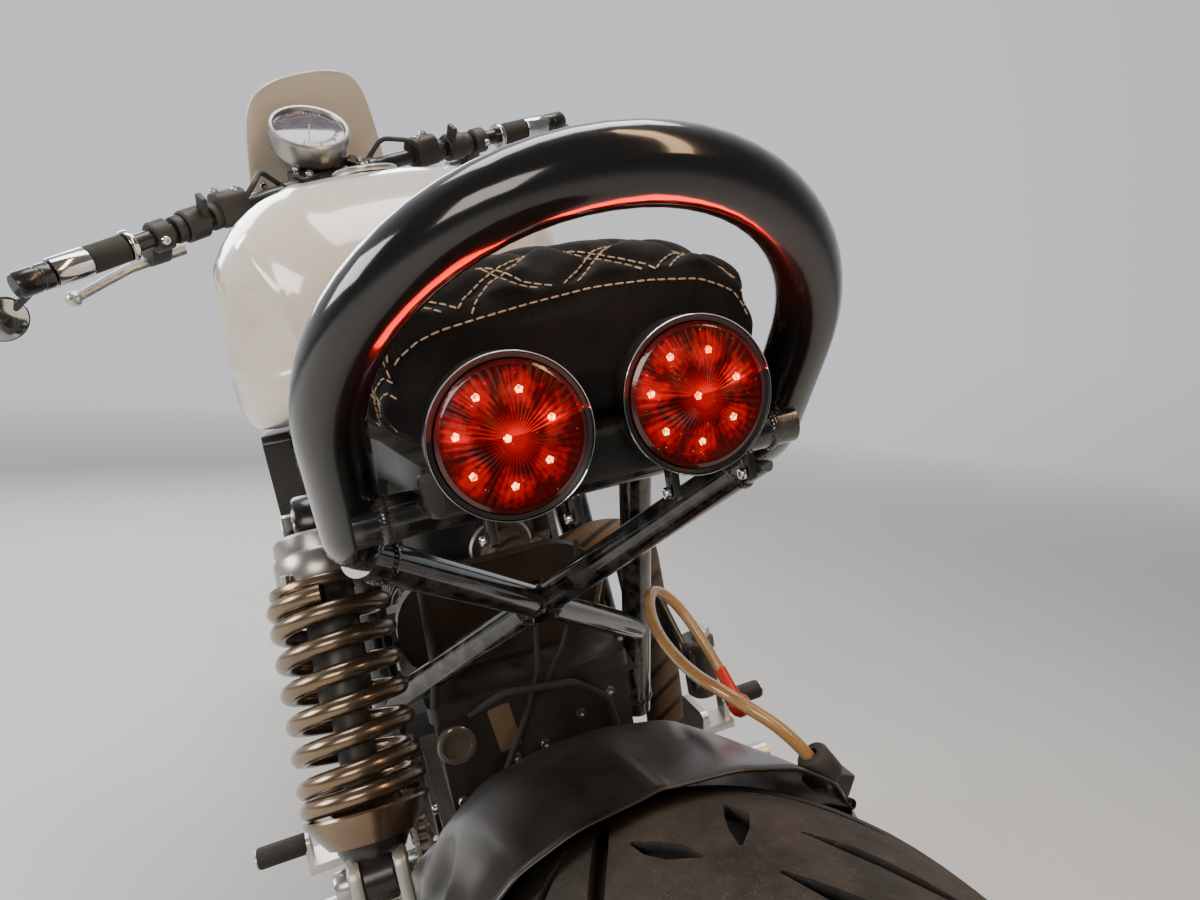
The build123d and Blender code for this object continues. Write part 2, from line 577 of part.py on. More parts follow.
def drive_chain():
    def loop(shift):
        big = Pos(0, REAR_TYRE_R) * Circle(CHAIN_PITCH_R + shift)
        small = Pos(*FRONT_SPROCKET) * Circle(FRONT_SPROCKET_R + shift)
        return make_hull((big + small).edges())
    face = loop(CHAIN_DEPTH / 2) - loop(-CHAIN_DEPTH / 2)
    chain = extrude(Plane.XZ * face, amount=CHAIN_W, dir=(0, 1, 0))
    return Pos(0, CHAIN_Y - CHAIN_W / 2, 0) * chain


def battery_box():
    """Lidded box behind the engine, slung between the frame's rear stays."""
    box = fillet(block((404, -78, 452), (470, 78, 542)).edges().filter_by(Axis.X), 10)
    lid = fillet(block((400, -82, 540), (474, 82, 553)).edges().filter_by(Axis.Z), 8)
    return box + lid + both_sides(block((452, 74, 508), (472, 106, 528)))


def oil_cooler():
    return Pos(1020, 0, 628) * Rot(0, 12, 0) * Box(26, 210, 90) + block((985, -60, 632), (1016, 60, 648))


def air_box():
    box = fillet(block((690, -84, 640), (900, 84, 742)).edges().filter_by(Axis.Y), 20)
    return box + block((744, -20, 738), (776, 20, 764))


# Steering group, drawn upright round the z axis

def fork_legs():
    legs = Part()
    foot_u, top_u = FRONT_AXLE_U - 26, TOP_YOKE_U + YOKE_T + 10
    leg = Pos(0, 0, (foot_u + LEG_SPLIT_U) / 2) * Cylinder(STANCHION_R, LEG_SPLIT_U - foot_u)
    leg += Pos(0, 0, (LEG_SPLIT_U + top_u) / 2) * Cylinder(LEG_R, top_u - LEG_SPLIT_U)
    leg += Pos(0, 0, FRONT_AXLE_U) * Box(56, 36, 64)
    for side in (-1, 1):
        legs += Pos(FORK_OFFSET, side * LEG_Y, 0) * leg
    return legs - cross_cylinder(FORK_OFFSET, FRONT_AXLE_U, FRONT_AXLE_R + SEAT_GAP, -200, 200)


def yoke(low_u):
    """Flat triple clamp, bored for the two legs."""
    rings = Circle(32)
    plate_holes = Part()
    for side in (-1, 1):
        rings += Pos(FORK_OFFSET, side * LEG_Y) * Circle(LEG_R + 11)
        plate_holes += Pos(FORK_OFFSET, side * LEG_Y, low_u) * Cylinder(LEG_R + SEAT_GAP, 200)
    return raised(make_hull(rings.edges()), low_u, low_u + YOKE_T) - plate_holes


def steering_stem():
    stem = Pos(0, 0, (LOWER_YOKE_U + TOP_YOKE_U) / 2 + 20) * Cylinder(STEM_R, TOP_YOKE_U - LOWER_YOKE_U + 40)
    return yoke(LOWER_YOKE_U) + stem - Pos(0, 0, LOWER_YOKE_U) * Cylinder(8, 120)


def top_yoke():
    piece = yoke(TOP_YOKE_U) - Pos(0, 0, TOP_YOKE_U) * Cylinder(STEM_R + SEAT_GAP, 120)
    for side in (-1, 1):
        at = Pos(BAR_F, side * 42, 0)
        piece += at * Pos(0, 0, (TOP_YOKE_U + YOKE_T + BAR_U) / 2) * Box(30, 24, BAR_U - TOP_YOKE_U - YOKE_T)
        piece += at * Pos(0, 0, BAR_U) * Box(46, 24, 38)
    return piece - tube((BAR_F, -80, BAR_U), (BAR_F, 80, BAR_U), BAR_CLAMP_D + 2 * SEAT_GAP)


def handlebar():
    bar = bent_tube([(BAR_END_F, -BAR_END_L, BAR_U), (BAR_F, -BAR_BEND_L, BAR_U),
                     (BAR_F, BAR_BEND_L, BAR_U), (BAR_END_F, BAR_END_L, BAR_U)], [90, 90], BAR_D)
    return bar + tube((BAR_F, -75, BAR_U), (BAR_F, 75, BAR_U), BAR_CLAMP_D)


def bar_point(l):
    """Point on the left bar's centre line."""
    share = (l - BAR_BEND_L) / (BAR_END_L - BAR_BEND_L)
    return (BAR_F + (BAR_END_F - BAR_F) * share, l, BAR_U)


def bar_sleeve(start, end, radius, inner=BAR_D / 2 + SEAT_GAP):
    """Sleeve round the left bar between two distances from the middle."""
    outer = tube(bar_point(start), bar_point(end), 2 * radius)
    return outer - tube(bar_point(start - 10), bar_point(end + 10), 2 * inner)


def grips():
    return both_sides(bar_sleeve(GRIP_START, GRIP_END, GRIP_R))


def bar_ends():
    """Bar-end weights with a round mirror head hanging from each."""
    piece = tube(bar_point(BAR_END_L + 0.5), bar_point(BAR_END_L + 40), 30)
    x, y, z = bar_point(BAR_END_L + 28)
    piece += tube((x, y - 8, z - 8), (x + 18, y + 14, z - 30), 9)
    piece += Pos(x + 20, y + 28, z - 37) * Rot(0, 90, 0) * Cylinder(26, 12)
    return both_sides(piece)


def bar_controls():
    """Clutch and brake perches with their levers."""
    piece = bar_sleeve(PERCH_L, PERCH_L + 44, 19)
    x, y, z = bar_point(LEVER_L)
    piece += block((x + 2, y - 20, z - 46), (x + 44, y + 14, z - 2))
    piece += tube((x + 34, y - 38, z - 37), (x + 34, y + 34, z - 40), 15)
    piece += tube((x + 34, y + 34, z - 40), (x + 34, y + 107, z - 55), 13)
    piece += Pos(x + 34, y + 107, z - 55) * Sphere(10)
    piece -= tube(bar_point(PERCH_L - 46), bar_point(GRIP_START + 14), BAR_D + 2 * SEAT_GAP)
    return both_sides(piece)


def front_axle():
    piece = cross_cylinder(FORK_OFFSET, FRONT_AXLE_U, FRONT_AXLE_R, -122, 122)
    spacer_end = LEG_Y - STANCHION_R - SEAT_GAP
    piece += both_sides(cross_cylinder(FORK_OFFSET, FRONT_AXLE_U, 18, FRONT_HUB_HALF + 0.4, spacer_end))
    return piece - cross_cylinder(FORK_OFFSET, FRONT_AXLE_U, FRONT_AXLE_BORE_R, -200, 200)


def front_fender():
    """Curved strip round the front tyre with side stays to the legs."""
    centre = Pos(FORK_OFFSET, 0, FRONT_AXLE_U)
    ring = cross_cylinder(0, 0, 321, -66, 66) - cross_cylinder(0, 0, 317, -70, 70)
    ring &= side_plate([(0, 0), (420, -60), (520, 420), (0, 620), (-360, 200)], -80, 80)
    stay = side_plate([(-18, 200), (18, 200), (30, 320), (-30, 320)], 66, 69)
    stay += side_plate([(-14, 230), (14, 230), (14, 262), (-14, 262)], 69, LEG_Y - STANCHION_R + 2)
    return centre * (ring + both_sides(stay))


def front_calipers():
    """Four-piston blocks over the discs, bolted behind the legs."""
    body = block((-108, FRONT_DISC_Y - 14, 66), (-26, FRONT_DISC_Y + 30, 158))
    body -= cross_cylinder(0, 0, FRONT_DISC_R + 5, FRONT_DISC_Y - PAD_GAP, FRONT_DISC_Y + DISC_T + PAD_GAP)
    body -= cross_cylinder(0, 0, FRONT_TYRE_R + 8, -200, 200) - cross_cylinder(0, 0, BEAD_R + 40, -210, 210)
    body += block((-40, 88, 90), (-20, 106, 140))
    return Pos(FORK_OFFSET, 0, FRONT_AXLE_U) * both_sides(body)


def headlamp():
    shell = Pos(HEADLAMP_F, 0, HEADLAMP_U) * Rot(0, 90, 0) * Cylinder(HEADLAMP_R, 96)
    shell -= Pos(HEADLAMP_F + 48, 0, HEADLAMP_U) * Rot(0, 90, 0) * Cylinder(HEADLAMP_R - 5, 16)
    ear = block((FORK_OFFSET, HEADLAMP_R - 4, HEADLAMP_U - 18), (HEADLAMP_F, HEADLAMP_R + 6, HEADLAMP_U + 18))
    return shell + both_sides(ear)


def headlamp_lens():
    return Pos(HEADLAMP_F + 46, 0, HEADLAMP_U) * Rot(0, 90, 0) * Cylinder(HEADLAMP_R - 5.2, 10)


def flyscreen():
    """Painted screen in front of the gauge, with stays to the top yoke."""
    outline = Polygon((-122, 0), (122, 0), (111, 80), (95, 142), (58, 166), (-58, 166), (-95, 142),
                      (-111, 80), align=None)
    outline = fillet(outline.vertices().sort_by(Axis.Y)[4:], 16)
    panel = Rot(0, 0, 90) * Rot(90, 0, 0) * raised(outline, 0, 5)
    foot_u = TOP_YOKE_U + 5
    stay = block((73.4, 52, foot_u), (SCREEN_F + 2, 64, foot_u + 12))
    stay += block((SCREEN_F - 4, 52, foot_u), (SCREEN_F + 2, 64, SCREEN_U + 28))
    return Pos(SCREEN_F, SCREEN_SHIFT, SCREEN_U) * panel + both_sides(stay)


def gauge():
    cup = Pos(0, 0, -GAUGE_DEPTH / 2) * Cylinder(GAUGE_R, GAUGE_DEPTH)
    cup += Pos(0, 0, -GAUGE_DEPTH - 9) * Cone(26, GAUGE_R, 18)
    cup = Pos(GAUGE_F, 0, GAUGE_U) * Rot(0, -GAUGE_TILT, 0) * cup
    return cup + block((61, -18, TOP_YOKE_U + YOKE_T + SEAT_GAP), (73, 18, GAUGE_U - 45))


# Standing the machine up

def lowest(centre, axle, radius, crown_r):
    """Height of the lowest point of a tyre whose wheel may lean."""
    return centre.Z - (radius - crown_r) * math.sqrt(1 - axle.Z ** 2) - crown_r


def resting_place():
    """Lean, pitch and height at which both tyres touch the road."""
    pitch, place = 0.0, Pos(0, 0, 0)
    for _ in range(6):
        place = Rot(-LEAN, 0, 0) * Rot(0, pitch, 0)
        rear_at = moved(place, (0, 0, REAR_TYRE_R))
        rear_axle_line = moved(place, (0, 1, 0)) - moved(place, (0, 0, 0))
        fork = place * STEERED
        front_at = moved(fork, (FORK_OFFSET, 0, FRONT_AXLE_U))
        front_axle_line = moved(fork, (0, 1, 0)) - moved(fork, (0, 0, 0))
        rear_low = lowest(rear_at, rear_axle_line, REAR_TYRE_R, REAR_CROWN_R)
        front_low = lowest(front_at, front_axle_line, FRONT_TYRE_R, FRONT_CROWN_R)
        pitch += math.degrees(math.atan((front_low - rear_low) / WHEELBASE))
    return Pos(0, 0, -rear_low) * place, pitch


def side_stand(place):
    """Leg with its foot, drawn in the leaning machine's place, and its hinge axis."""
    pivot = moved(place, STAND_PIVOT)
    foot = Vector(STAND_FOOT[0], STAND_FOOT[1], FOOT_T)
    down = (foot - pivot).normalized()
    folded = moved(place, STAND_FOLDED) - moved(place, (0, 0, 0))
    axis = down.cross(folded).normalized()
    hinge = Plane(origin=pivot, z_dir=axis).location
    leg = tube(tuple(pivot + down * (STAND_HEAD_R - 2)), tuple(foot - Vector(0, 0, FOOT_T / 2)), STAND_LEG_D)
    leg -= Pos(foot.X, foot.Y, -20) * Box(200, 200, 40)
    leg += Pos(foot.X, foot.Y, FOOT_T / 2) * Cylinder(FOOT_R, FOOT_T)
    leg += hinge * Cylinder(STAND_HEAD_R, STAND_HEAD_T)
    leg -= hinge * Cylinder(STAND_BOLT_R + AXLE_RUN, 60)
    swing = math.degrees(math.acos(down.dot(folded.normalized())))
    reach = STAND_HEAD_T / 2 + 0.3
    bracket = hinge * (Pos(0, 0, -reach - 8) * Cylinder(13, 16) + Cylinder(STAND_BOLT_R, 2 * reach + 8))
    bracket += hinge * (Pos(0, 0, reach + 3) * Cylinder(10, 6))
    inboard = moved(place, (STAND_PIVOT[0] + 4, CASE_HALF - 4, STAND_PIVOT[2] - 4))
    bracket += tube(tuple(inboard), tuple(pivot - axis * (reach + 12)), 18)
    return leg, bracket, pivot, axis, swing


REST, PITCH = resting_place()
frame, tail_hoop = trellis(), hoop()
frame -= tail_hoop
tail = tail_hoop + (tail_brace() - frame)
tail -= cross_cylinder(SHOCK_TOP[0], SHOCK_TOP[2], SHOCK_BOLT_R + SEAT_GAP, 60, 130)
cases = engine_cases() - frame
front_cylinder = largest(cylinder(FRONT_CYLINDER_ANGLE, 1) - cases)
rear_cylinder = largest(cylinder(REAR_CYLINDER_ANGLE, -1) - cases - front_cylinder)
shock_body, shock_spring, shock_room = shock()
arm = swing_arm()
rear_guard = hugger() - shock_room
lamp_cups, lamp_lenses = lamps()
tank, screen, legs = fuel_tank(), flyscreen(), fork_legs()

UPRIGHT = {
    "frame": frame,
    "tail_frame": tail,
    "swing_arm": arm,
    "swing_arm_spindle": swing_arm_spindle(),
    "rear_axle": rear_axle(),
    "shock_body": shock_body - arm,
    "shock_spring": shock_spring,
    "engine_cases": cases,
    "front_cylinder": front_cylinder,
    "rear_cylinder": rear_cylinder,
    "exhaust_headers": exhaust_headers() - silencer(46 + SEAT_GAP, False),
    "silencer": silencer(),
    "fuel_tank": tank,
    "fuel_cap": fuel_cap() - tank,
    "seat": seat(),
    "tail_panel": tail_panel(),
    "lamp_cups": lamp_cups,
    "lamp_lenses": lamp_lenses,
    "side_scoops": side_scoop() - frame,
    "rear_hugger": rear_guard,
    "rear_brake_hose": rear_hose(),
    "rear_caliper": rear_caliper(),
    "brake_reservoir": largest(brake_reservoir() - rear_guard),
    "rearsets": rearsets(),
    "drive_chain": drive_chain(),
    "oil_cooler": oil_cooler() - frame,
    "air_box": air_box() - frame,
    "battery_box": battery_box() - frame,
}
UPRIGHT.update(rear_wheel())

STEERING = {
    "steering_stem": steering_stem(),
    "top_yoke": top_yoke(),
    "fork_legs": legs,
    "handlebar": handlebar(),
    "grips": grips(),
    "bar_ends": bar_ends(),
    "bar_controls": bar_controls(),
    "front_axle": front_axle(),
    "front_fender": front_fender() - legs,
    "front_calipers": front_calipers() - legs,
    "headlamp": headlamp() - legs,
    "headlamp_lens": headlamp_lens(),
    "flyscreen": screen,
    "gauge": gauge(),
}
STEERING.update(front_wheel())

PIECES = {name: REST * piece for name, piece in UPRIGHT.items()}
PIECES.update({name: REST * STEERED * piece for name, piece in STEERING.items()})
stand, bracket, stand_pivot, stand_axis, stand_swing = side_stand(REST)
PIECES["side_stand"] = stand
PIECES["stand_bracket"] = bracket - PIECES["engine_cases"]

BOX = Compound(list(PIECES.values())).bounding_box()
ORIGIN = Pos(-(BOX.min.X + BOX.max.X) / 2, -(BOX.min.Y + BOX.max.Y) / 2, 0)


def tell(name, place, point, axis):
    """Print a joint or mount in the finished machine's frame."""
    at = moved(ORIGIN * place, point)
    along = moved(place, axis) - moved(place, (0, 0, 0))
    print(name, [round(v, 3) for v in at], [round(v, 6) for v in along])


tell("rear_wheel", REST, (0, 0, REAR_TYRE_R), (0, 1, 0))
tell("steering", REST * STEERED, (0, 0, (HEAD_LOW + HEAD_HIGH) / 2), (0, 0, 1))
tell("front_wheel", REST * STEERED, (FORK_OFFSET, 0, FRONT_AXLE_U), (0, 1, 0))
tell("side_stand", Pos(0, 0, 0), tuple(stand_pivot), tuple(stand_axis))
print("stand swing", round(stand_swing, 3), "pitch", round(PITCH, 4), "lift", round(REST.position.Z, 4))
print("origin", [round(v, 4) for v in ORIGIN.position], "size", [round(v, 2) for v in BOX.size], "low", BOX.min.Z)

os.makedirs("parts", exist_ok=True)
for name, piece in PIECES.items():
    export_step(ORIGIN * piece, f"parts/{name}.step")
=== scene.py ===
import json
import math

import bmesh
import bpy
from mathutils import Matrix, Vector
from mathutils.bvhtree import BVHTree

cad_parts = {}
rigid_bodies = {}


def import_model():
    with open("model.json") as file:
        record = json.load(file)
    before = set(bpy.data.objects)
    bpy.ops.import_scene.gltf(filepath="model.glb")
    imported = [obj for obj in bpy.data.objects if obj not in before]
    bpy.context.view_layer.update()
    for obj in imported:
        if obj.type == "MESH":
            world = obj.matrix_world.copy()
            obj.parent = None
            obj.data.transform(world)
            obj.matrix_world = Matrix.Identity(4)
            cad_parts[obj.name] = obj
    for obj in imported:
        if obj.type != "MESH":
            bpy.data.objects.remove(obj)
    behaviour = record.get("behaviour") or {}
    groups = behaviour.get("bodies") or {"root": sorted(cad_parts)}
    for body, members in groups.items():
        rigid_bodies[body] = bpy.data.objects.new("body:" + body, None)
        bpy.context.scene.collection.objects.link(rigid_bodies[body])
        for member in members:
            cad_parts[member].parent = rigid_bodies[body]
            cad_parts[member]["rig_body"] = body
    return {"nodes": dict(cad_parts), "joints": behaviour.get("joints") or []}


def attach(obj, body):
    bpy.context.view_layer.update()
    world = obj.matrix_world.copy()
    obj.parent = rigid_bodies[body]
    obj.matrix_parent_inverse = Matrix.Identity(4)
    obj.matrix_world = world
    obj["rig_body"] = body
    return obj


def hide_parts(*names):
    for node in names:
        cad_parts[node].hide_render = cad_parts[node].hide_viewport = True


bl_info = {
    "name": "Cafe racer motorcycle",
    "version": (1, 0, 0),
    "blender": (4, 5, 0),
    "location": "View3D > Sidebar > Cafe racer",
    "description": "Dresses the cafe racer's solids with smooth shapes, seams, treads and finishes",
    "category": "Object",
}

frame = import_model()
JOINTS = {joint["name"]: joint for joint in frame["joints"]}
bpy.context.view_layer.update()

# Stance of the machine. Lengths in the tables below are in millimetres on the upright machine:
# x forward from the rear axle, y to the left, z up from the road.
RAKE, STEER_STOP, LEAN = math.radians(24.5), math.radians(28.0), math.radians(13.77)
STEER_FOOT_X = 1.528
REAR_TYRE_R, FRONT_TYRE_R = 316.0, 300.0
PITCH = RAKE + math.asin(JOINTS["steering_turn"]["axis"][0])
UPRIGHT_TURN = Matrix.Rotation(-LEAN, 4, "X") @ Matrix.Rotation(PITCH, 4, "Y")
REAR_HUB_AT = Vector(JOINTS["rear_wheel_spin"]["pos_m"])
STANDING = (Matrix.Translation(REAR_HUB_AT) @ UPRIGHT_TURN
            @ Matrix.Translation((0, 0, -REAR_TYRE_R / 1000)))
STEERED = (STANDING @ Matrix.Translation((STEER_FOOT_X, 0, 0))
           @ Matrix.Rotation(-RAKE, 4, "Y") @ Matrix.Rotation(STEER_STOP, 4, "Z"))
MACHINE = STANDING @ Matrix.Scale(0.001, 4)
STEERING = STEERED @ Matrix.Scale(0.001, 4)
FORK_OFFSET = FRONT_TYRE_R * math.sin(RAKE) - 98.0 * math.cos(RAKE)
FRONT_AXLE_U = FRONT_TYRE_R * math.cos(RAKE) + 98.0 * math.sin(RAKE)
REAR_WHEEL = MACHINE @ Matrix.Translation((0, 0, REAR_TYRE_R))
FRONT_WHEEL = STEERING @ Matrix.Translation((FORK_OFFSET, 0, FRONT_AXLE_U))
MIRRORED = Matrix.Scale(-1, 4, (0, 1, 0))
HERE = Matrix.Identity(4)
QUARTER = math.pi / 2


def matched(setting):
    """Value of one of the settings."""
    return getattr(bpy.context.scene.cafe_racer, setting)


def shift(*place):
    """Move by x, y, z or by one vector."""
    return Matrix.Translation(place[0] if len(place) == 1 else place)


def swung(angle, axis):
    """Turn about x, y or z."""
    return Matrix.Rotation(angle, 4, axis)


def sized(factor):
    """Make larger or smaller."""
    return Matrix.Scale(factor, 4)


# Shapes. Each helper returns a mesh in millimetres.

def aimed(point, direction=(0, 0, 1)):
    """Placing that carries the z axis onto a direction at a point."""
    turn = Vector(direction).to_track_quat("Z", "Y").to_matrix().to_4x4()
    return shift(Vector(point)) @ turn


def kept(bm):
    """The mesh of a finished bmesh."""
    mesh = bpy.data.meshes.new("shape")
    bm.to_mesh(mesh)
    bm.free()
    return mesh


def faced(bm):
    """Turn every face outwards."""
    bmesh.ops.recalc_face_normals(bm, faces=bm.faces)


def opened(mesh):
    """A bmesh that starts from a mesh."""
    bm = bmesh.new()
    bm.from_mesh(mesh)
    return bm


def added(name, data):
    """A new object in the scene."""
    thing = bpy.data.objects.new(name, data)
    bpy.context.scene.collection.objects.link(thing)
    return thing


def points_of(geometry):
    return [item for item in geometry if isinstance(item, bmesh.types.BMVert)]


def edges_of(geometry):
    return [item for item in geometry if isinstance(item, bmesh.types.BMEdge)]


def pushed(bm, loop, step):
    """Extrude a loop of edges by a step and return the new loop."""
    grown = bmesh.ops.extrude_edge_only(bm, edges=loop)["geom"]
    fresh = set(points_of(grown))
    bmesh.ops.translate(bm, vec=step, verts=list(fresh))
    return [edge for edge in edges_of(grown) if set(edge.verts) <= fresh]


def pipe(points, bends=(), radius=10.0, sides=28, steps=9):
    """Round tube along straight runs joined by arcs, closed at both ends."""
    points = [Vector(point) for point in points]
    bm = bmesh.new()
    start = aimed(points[0], points[1] - points[0])
    ring = bmesh.ops.create_circle(bm, cap_ends=True, segments=sides, radius=radius, matrix=start)
    loop = list({edge for vert in ring["verts"] for edge in vert.link_edges})
    place = points[0]
    for before, corner, after, bend in zip(points, points[1:], points[2:], bends):
        into, out = (corner - before).normalized(), (after - corner).normalized()
        turn = into.angle(out)
        reach = bend * math.tan(turn / 2)
        loop = pushed(bm, loop, corner - into * reach - place)
        axis = into.cross(out).normalized()
        centre = corner - into * reach + axis.cross(into) * bend
        ring = list({vert for edge in loop for vert in edge.verts})
        spun = bmesh.ops.spin(bm, geom=ring + loop, cent=centre, axis=axis, dvec=(0, 0, 0),
                              angle=turn, steps=steps)
        loop = edges_of(spun["geom_last"])
        place = corner + out * reach
    loop = pushed(bm, loop, points[-1] - place)
    bmesh.ops.edgeloop_fill(bm, edges=loop)
    return kept(bm)


def turned(profile, steps=48):
    """Profile of (radius, height) points spun round the z axis."""
    bm = bmesh.new()
    verts = [bm.verts.new((radius, 0, height)) for radius, height in profile]
    edges = [bm.edges.new(pair) for pair in zip(verts, verts[1:])]
    bmesh.ops.spin(bm, geom=verts + edges, cent=(0, 0, 0), axis=(0, 0, 1), dvec=(0, 0, 0),
                   angle=math.tau, steps=steps, use_merge=True)
    bmesh.ops.remove_doubles(bm, verts=bm.verts, dist=0.001)
    return kept(bm)


def held(value):
    """The value kept between 0 and 1."""
    return min(1.0, max(0.0, value))


def mirrored(half):
    """Outline from its upper half: the lower half first, then the upper half back."""
    return [(out, -up) for out, up in half] + half[::-1]


def oblong(left, right, low, high):
    """Corners of a rectangle."""
    return [(left, low), (right, low), (right, high), (left, high)]


def rounded(bm, edges, width):
    """Round some edges of a bmesh."""
    bmesh.ops.bevel(bm, geom=edges, offset=width, offset_type="OFFSET", segments=2,
                    profile=0.5, affect="EDGES", material=-1, clamp_overlap=True)


def plate(outline, thickness, corner=0.0, edge=0.6):
    """Flat plate over an outline in xy, thick along z, with rounded corners and edges."""
    bm = bmesh.new()
    face = bm.faces.new([bm.verts.new((x, y, 0)) for x, y in outline])
    if corner:
        bmesh.ops.bevel(bm, geom=list(face.verts), offset=corner, offset_type="OFFSET",
                        segments=4, profile=0.5, affect="VERTICES", material=-1, clamp_overlap=True)
    grown = bmesh.ops.extrude_face_region(bm, geom=list(bm.faces))["geom"]
    bmesh.ops.translate(bm, vec=(0, 0, thickness), verts=points_of(grown))
    faced(bm)
    if edge:
        rims = [each for each in bm.edges if each.calc_face_angle(0) > 1.2]
        rounded(bm, rims, edge)
    return kept(bm)


def lofted(loops, closed=True, capped=True):
    """Skin over section loops that have the same number of points."""
    bm = bmesh.new()
    rings = []
    for loop in loops:
        verts = [bm.verts.new(point) for point in loop]
        ends = verts[1:] + verts[:1] if closed else verts[1:]
        rings.append([bm.edges.new(pair) for pair in zip(verts, ends)])
    for low, high in zip(rings, rings[1:]):
        bmesh.ops.bridge_loops(bm, edges=low + high)
    if capped:
        for ring in (rings[0], rings[-1]):
            bmesh.ops.edgeloop_fill(bm, edges=ring)
    return kept(bm)


def side_on(y):
    """Placing of a plate whose outline is in xz and whose outer face is at y."""
    return shift(0, y, 0) @ swung(QUARTER, "X")


def across(x, z, y=0.0):
    """Placing that lays the z axis across the machine."""
    return shift(x, y, z) @ swung(-QUARTER, "X")


BOLT = turned([(0, 0), (4.6, 0), (5.2, 0.6), (5.2, 4.2), (4.6, 5), (2.6, 5), (2.4, 2.6), (0, 2.6)], 12)
HEX_NUT = turned([(0, 0), (8.0, 0), (8.6, 1), (8.6, 6), (7.8, 7), (0, 7)], 6)
WASHER = turned([(0, 0), (9.6, 0), (10, 0.4), (10, 1.2), (9.6, 1.6), (0, 1.6)], 24)


def ring_of(mesh, count, radius, place=HERE, phase=0.0):
    """Copies of a mesh spaced round a circle."""
    return [(mesh, place @ swung(math.tau * step / count + phase, "Z")
             @ shift(radius, 0, 0)) for step in range(count)]


def bolts_at(points, direction, size=1.0):
    """Bolts that all face one way."""
    return [(BOLT, aimed(point, direction) @ sized(size)) for point in points]


def weld(point, direction, radius, lumps=26, size=1.9):
    """Ring of overlapping weld lumps round a tube."""
    bm = bmesh.new()
    bmesh.ops.create_icosphere(bm, subdivisions=1, radius=size)
    bmesh.ops.scale(bm, vec=(0.8, 1.15, 1.3), verts=bm.verts)
    return ring_of(kept(bm), lumps, radius, aimed(point, direction))


def baked(*things):
    """Mesh of the first object with its modifiers applied; the objects are removed."""
    graph = bpy.context.evaluated_depsgraph_get()
    mesh = bpy.data.meshes.new_from_object(things[0].evaluated_get(graph))
    for thing in things:
        bpy.data.objects.remove(thing)
    return mesh


def softened(mesh, levels):
    """The mesh after Catmull-Clark smoothing."""
    thing = added("work", mesh)
    thing.modifiers.new("Smooth", "SUBSURF").levels = levels
    return baked(thing)


def at_each(mesh, places):
    """The same mesh at every place."""
    return [(mesh, place) for place in places]


def both(shapes):
    """Shapes and their mirror images on the right side."""
    return shapes + [(mesh, MIRRORED @ place) for mesh, place in shapes]


def piece(name, shapes, slot, body="chassis", place=MACHINE, stands_for=(), smooth=38, subdivide=0,
          material=None, shell=0.0):
    """One piece of the machine, from shapes and their places."""
    bm = bmesh.new()
    for mesh, at in shapes:
        copy = mesh.copy()
        copy.transform(at)
        bm.from_mesh(copy)
        bpy.data.meshes.remove(copy)
    bmesh.ops.transform(bm, matrix=place, verts=bm.verts)
    faced(bm)
    mesh = kept(bm)
    mesh.name = name
    return dressed(mesh, name, slot, body, stands_for, smooth, subdivide, material, shell)


def steered(name, shapes, slot, stands_for=(), **more):
    """One piece that turns with the steering."""
    return piece(name, shapes, slot, "steering", STEERING, stands_for, **more)


def dressed(mesh, name, slot, body="chassis", stands_for=(), smooth=38, subdivide=0, material=None,
            shell=0.0):
    """Object for a mesh that is already in place, with the finish of its slot and its body."""
    thing = added(name, mesh)
    mesh.materials.clear()
    mesh.materials.append(material or FINISHES[slot])
    mesh.shade_smooth()
    mesh.set_sharp_from_angle(angle=math.radians(smooth))
    if shell:
        wall = thing.modifiers.new("Wall", "SOLIDIFY")
        wall.thickness = shell / 1000
        wall.offset = -1
    if subdivide:
        soft = thing.modifiers.new("Smooth", "SUBSURF")
        soft.levels = subdivide
        soft.render_levels = subdivide
    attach(thing, body)
    if stands_for:
        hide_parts(*stands_for)
    return thing


def refined(node, slot, edge=0.8):
    """Smooth copy of a solid with its sharp edges rounded."""
    source = frame["nodes"][node]
    bm = opened(source.data)
    bmesh.ops.remove_doubles(bm, verts=bm.verts, dist=0.00001)
    bmesh.ops.dissolve_limit(bm, angle_limit=math.radians(1.5), verts=bm.verts, edges=bm.edges,
                             use_dissolve_boundaries=False)
    faced(bm)
    thing = dressed(kept(bm), node + "_skin", slot, source["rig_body"], (node,), 32)
    if edge:
        soft = thing.modifiers.new("Edges", "BEVEL")
        soft.width = edge / 1000
        soft.segments = 2
        soft.limit_method = "ANGLE"
        soft.angle_limit = math.radians(42)
        soft.use_clamp_overlap = True
    return thing


# Finishes

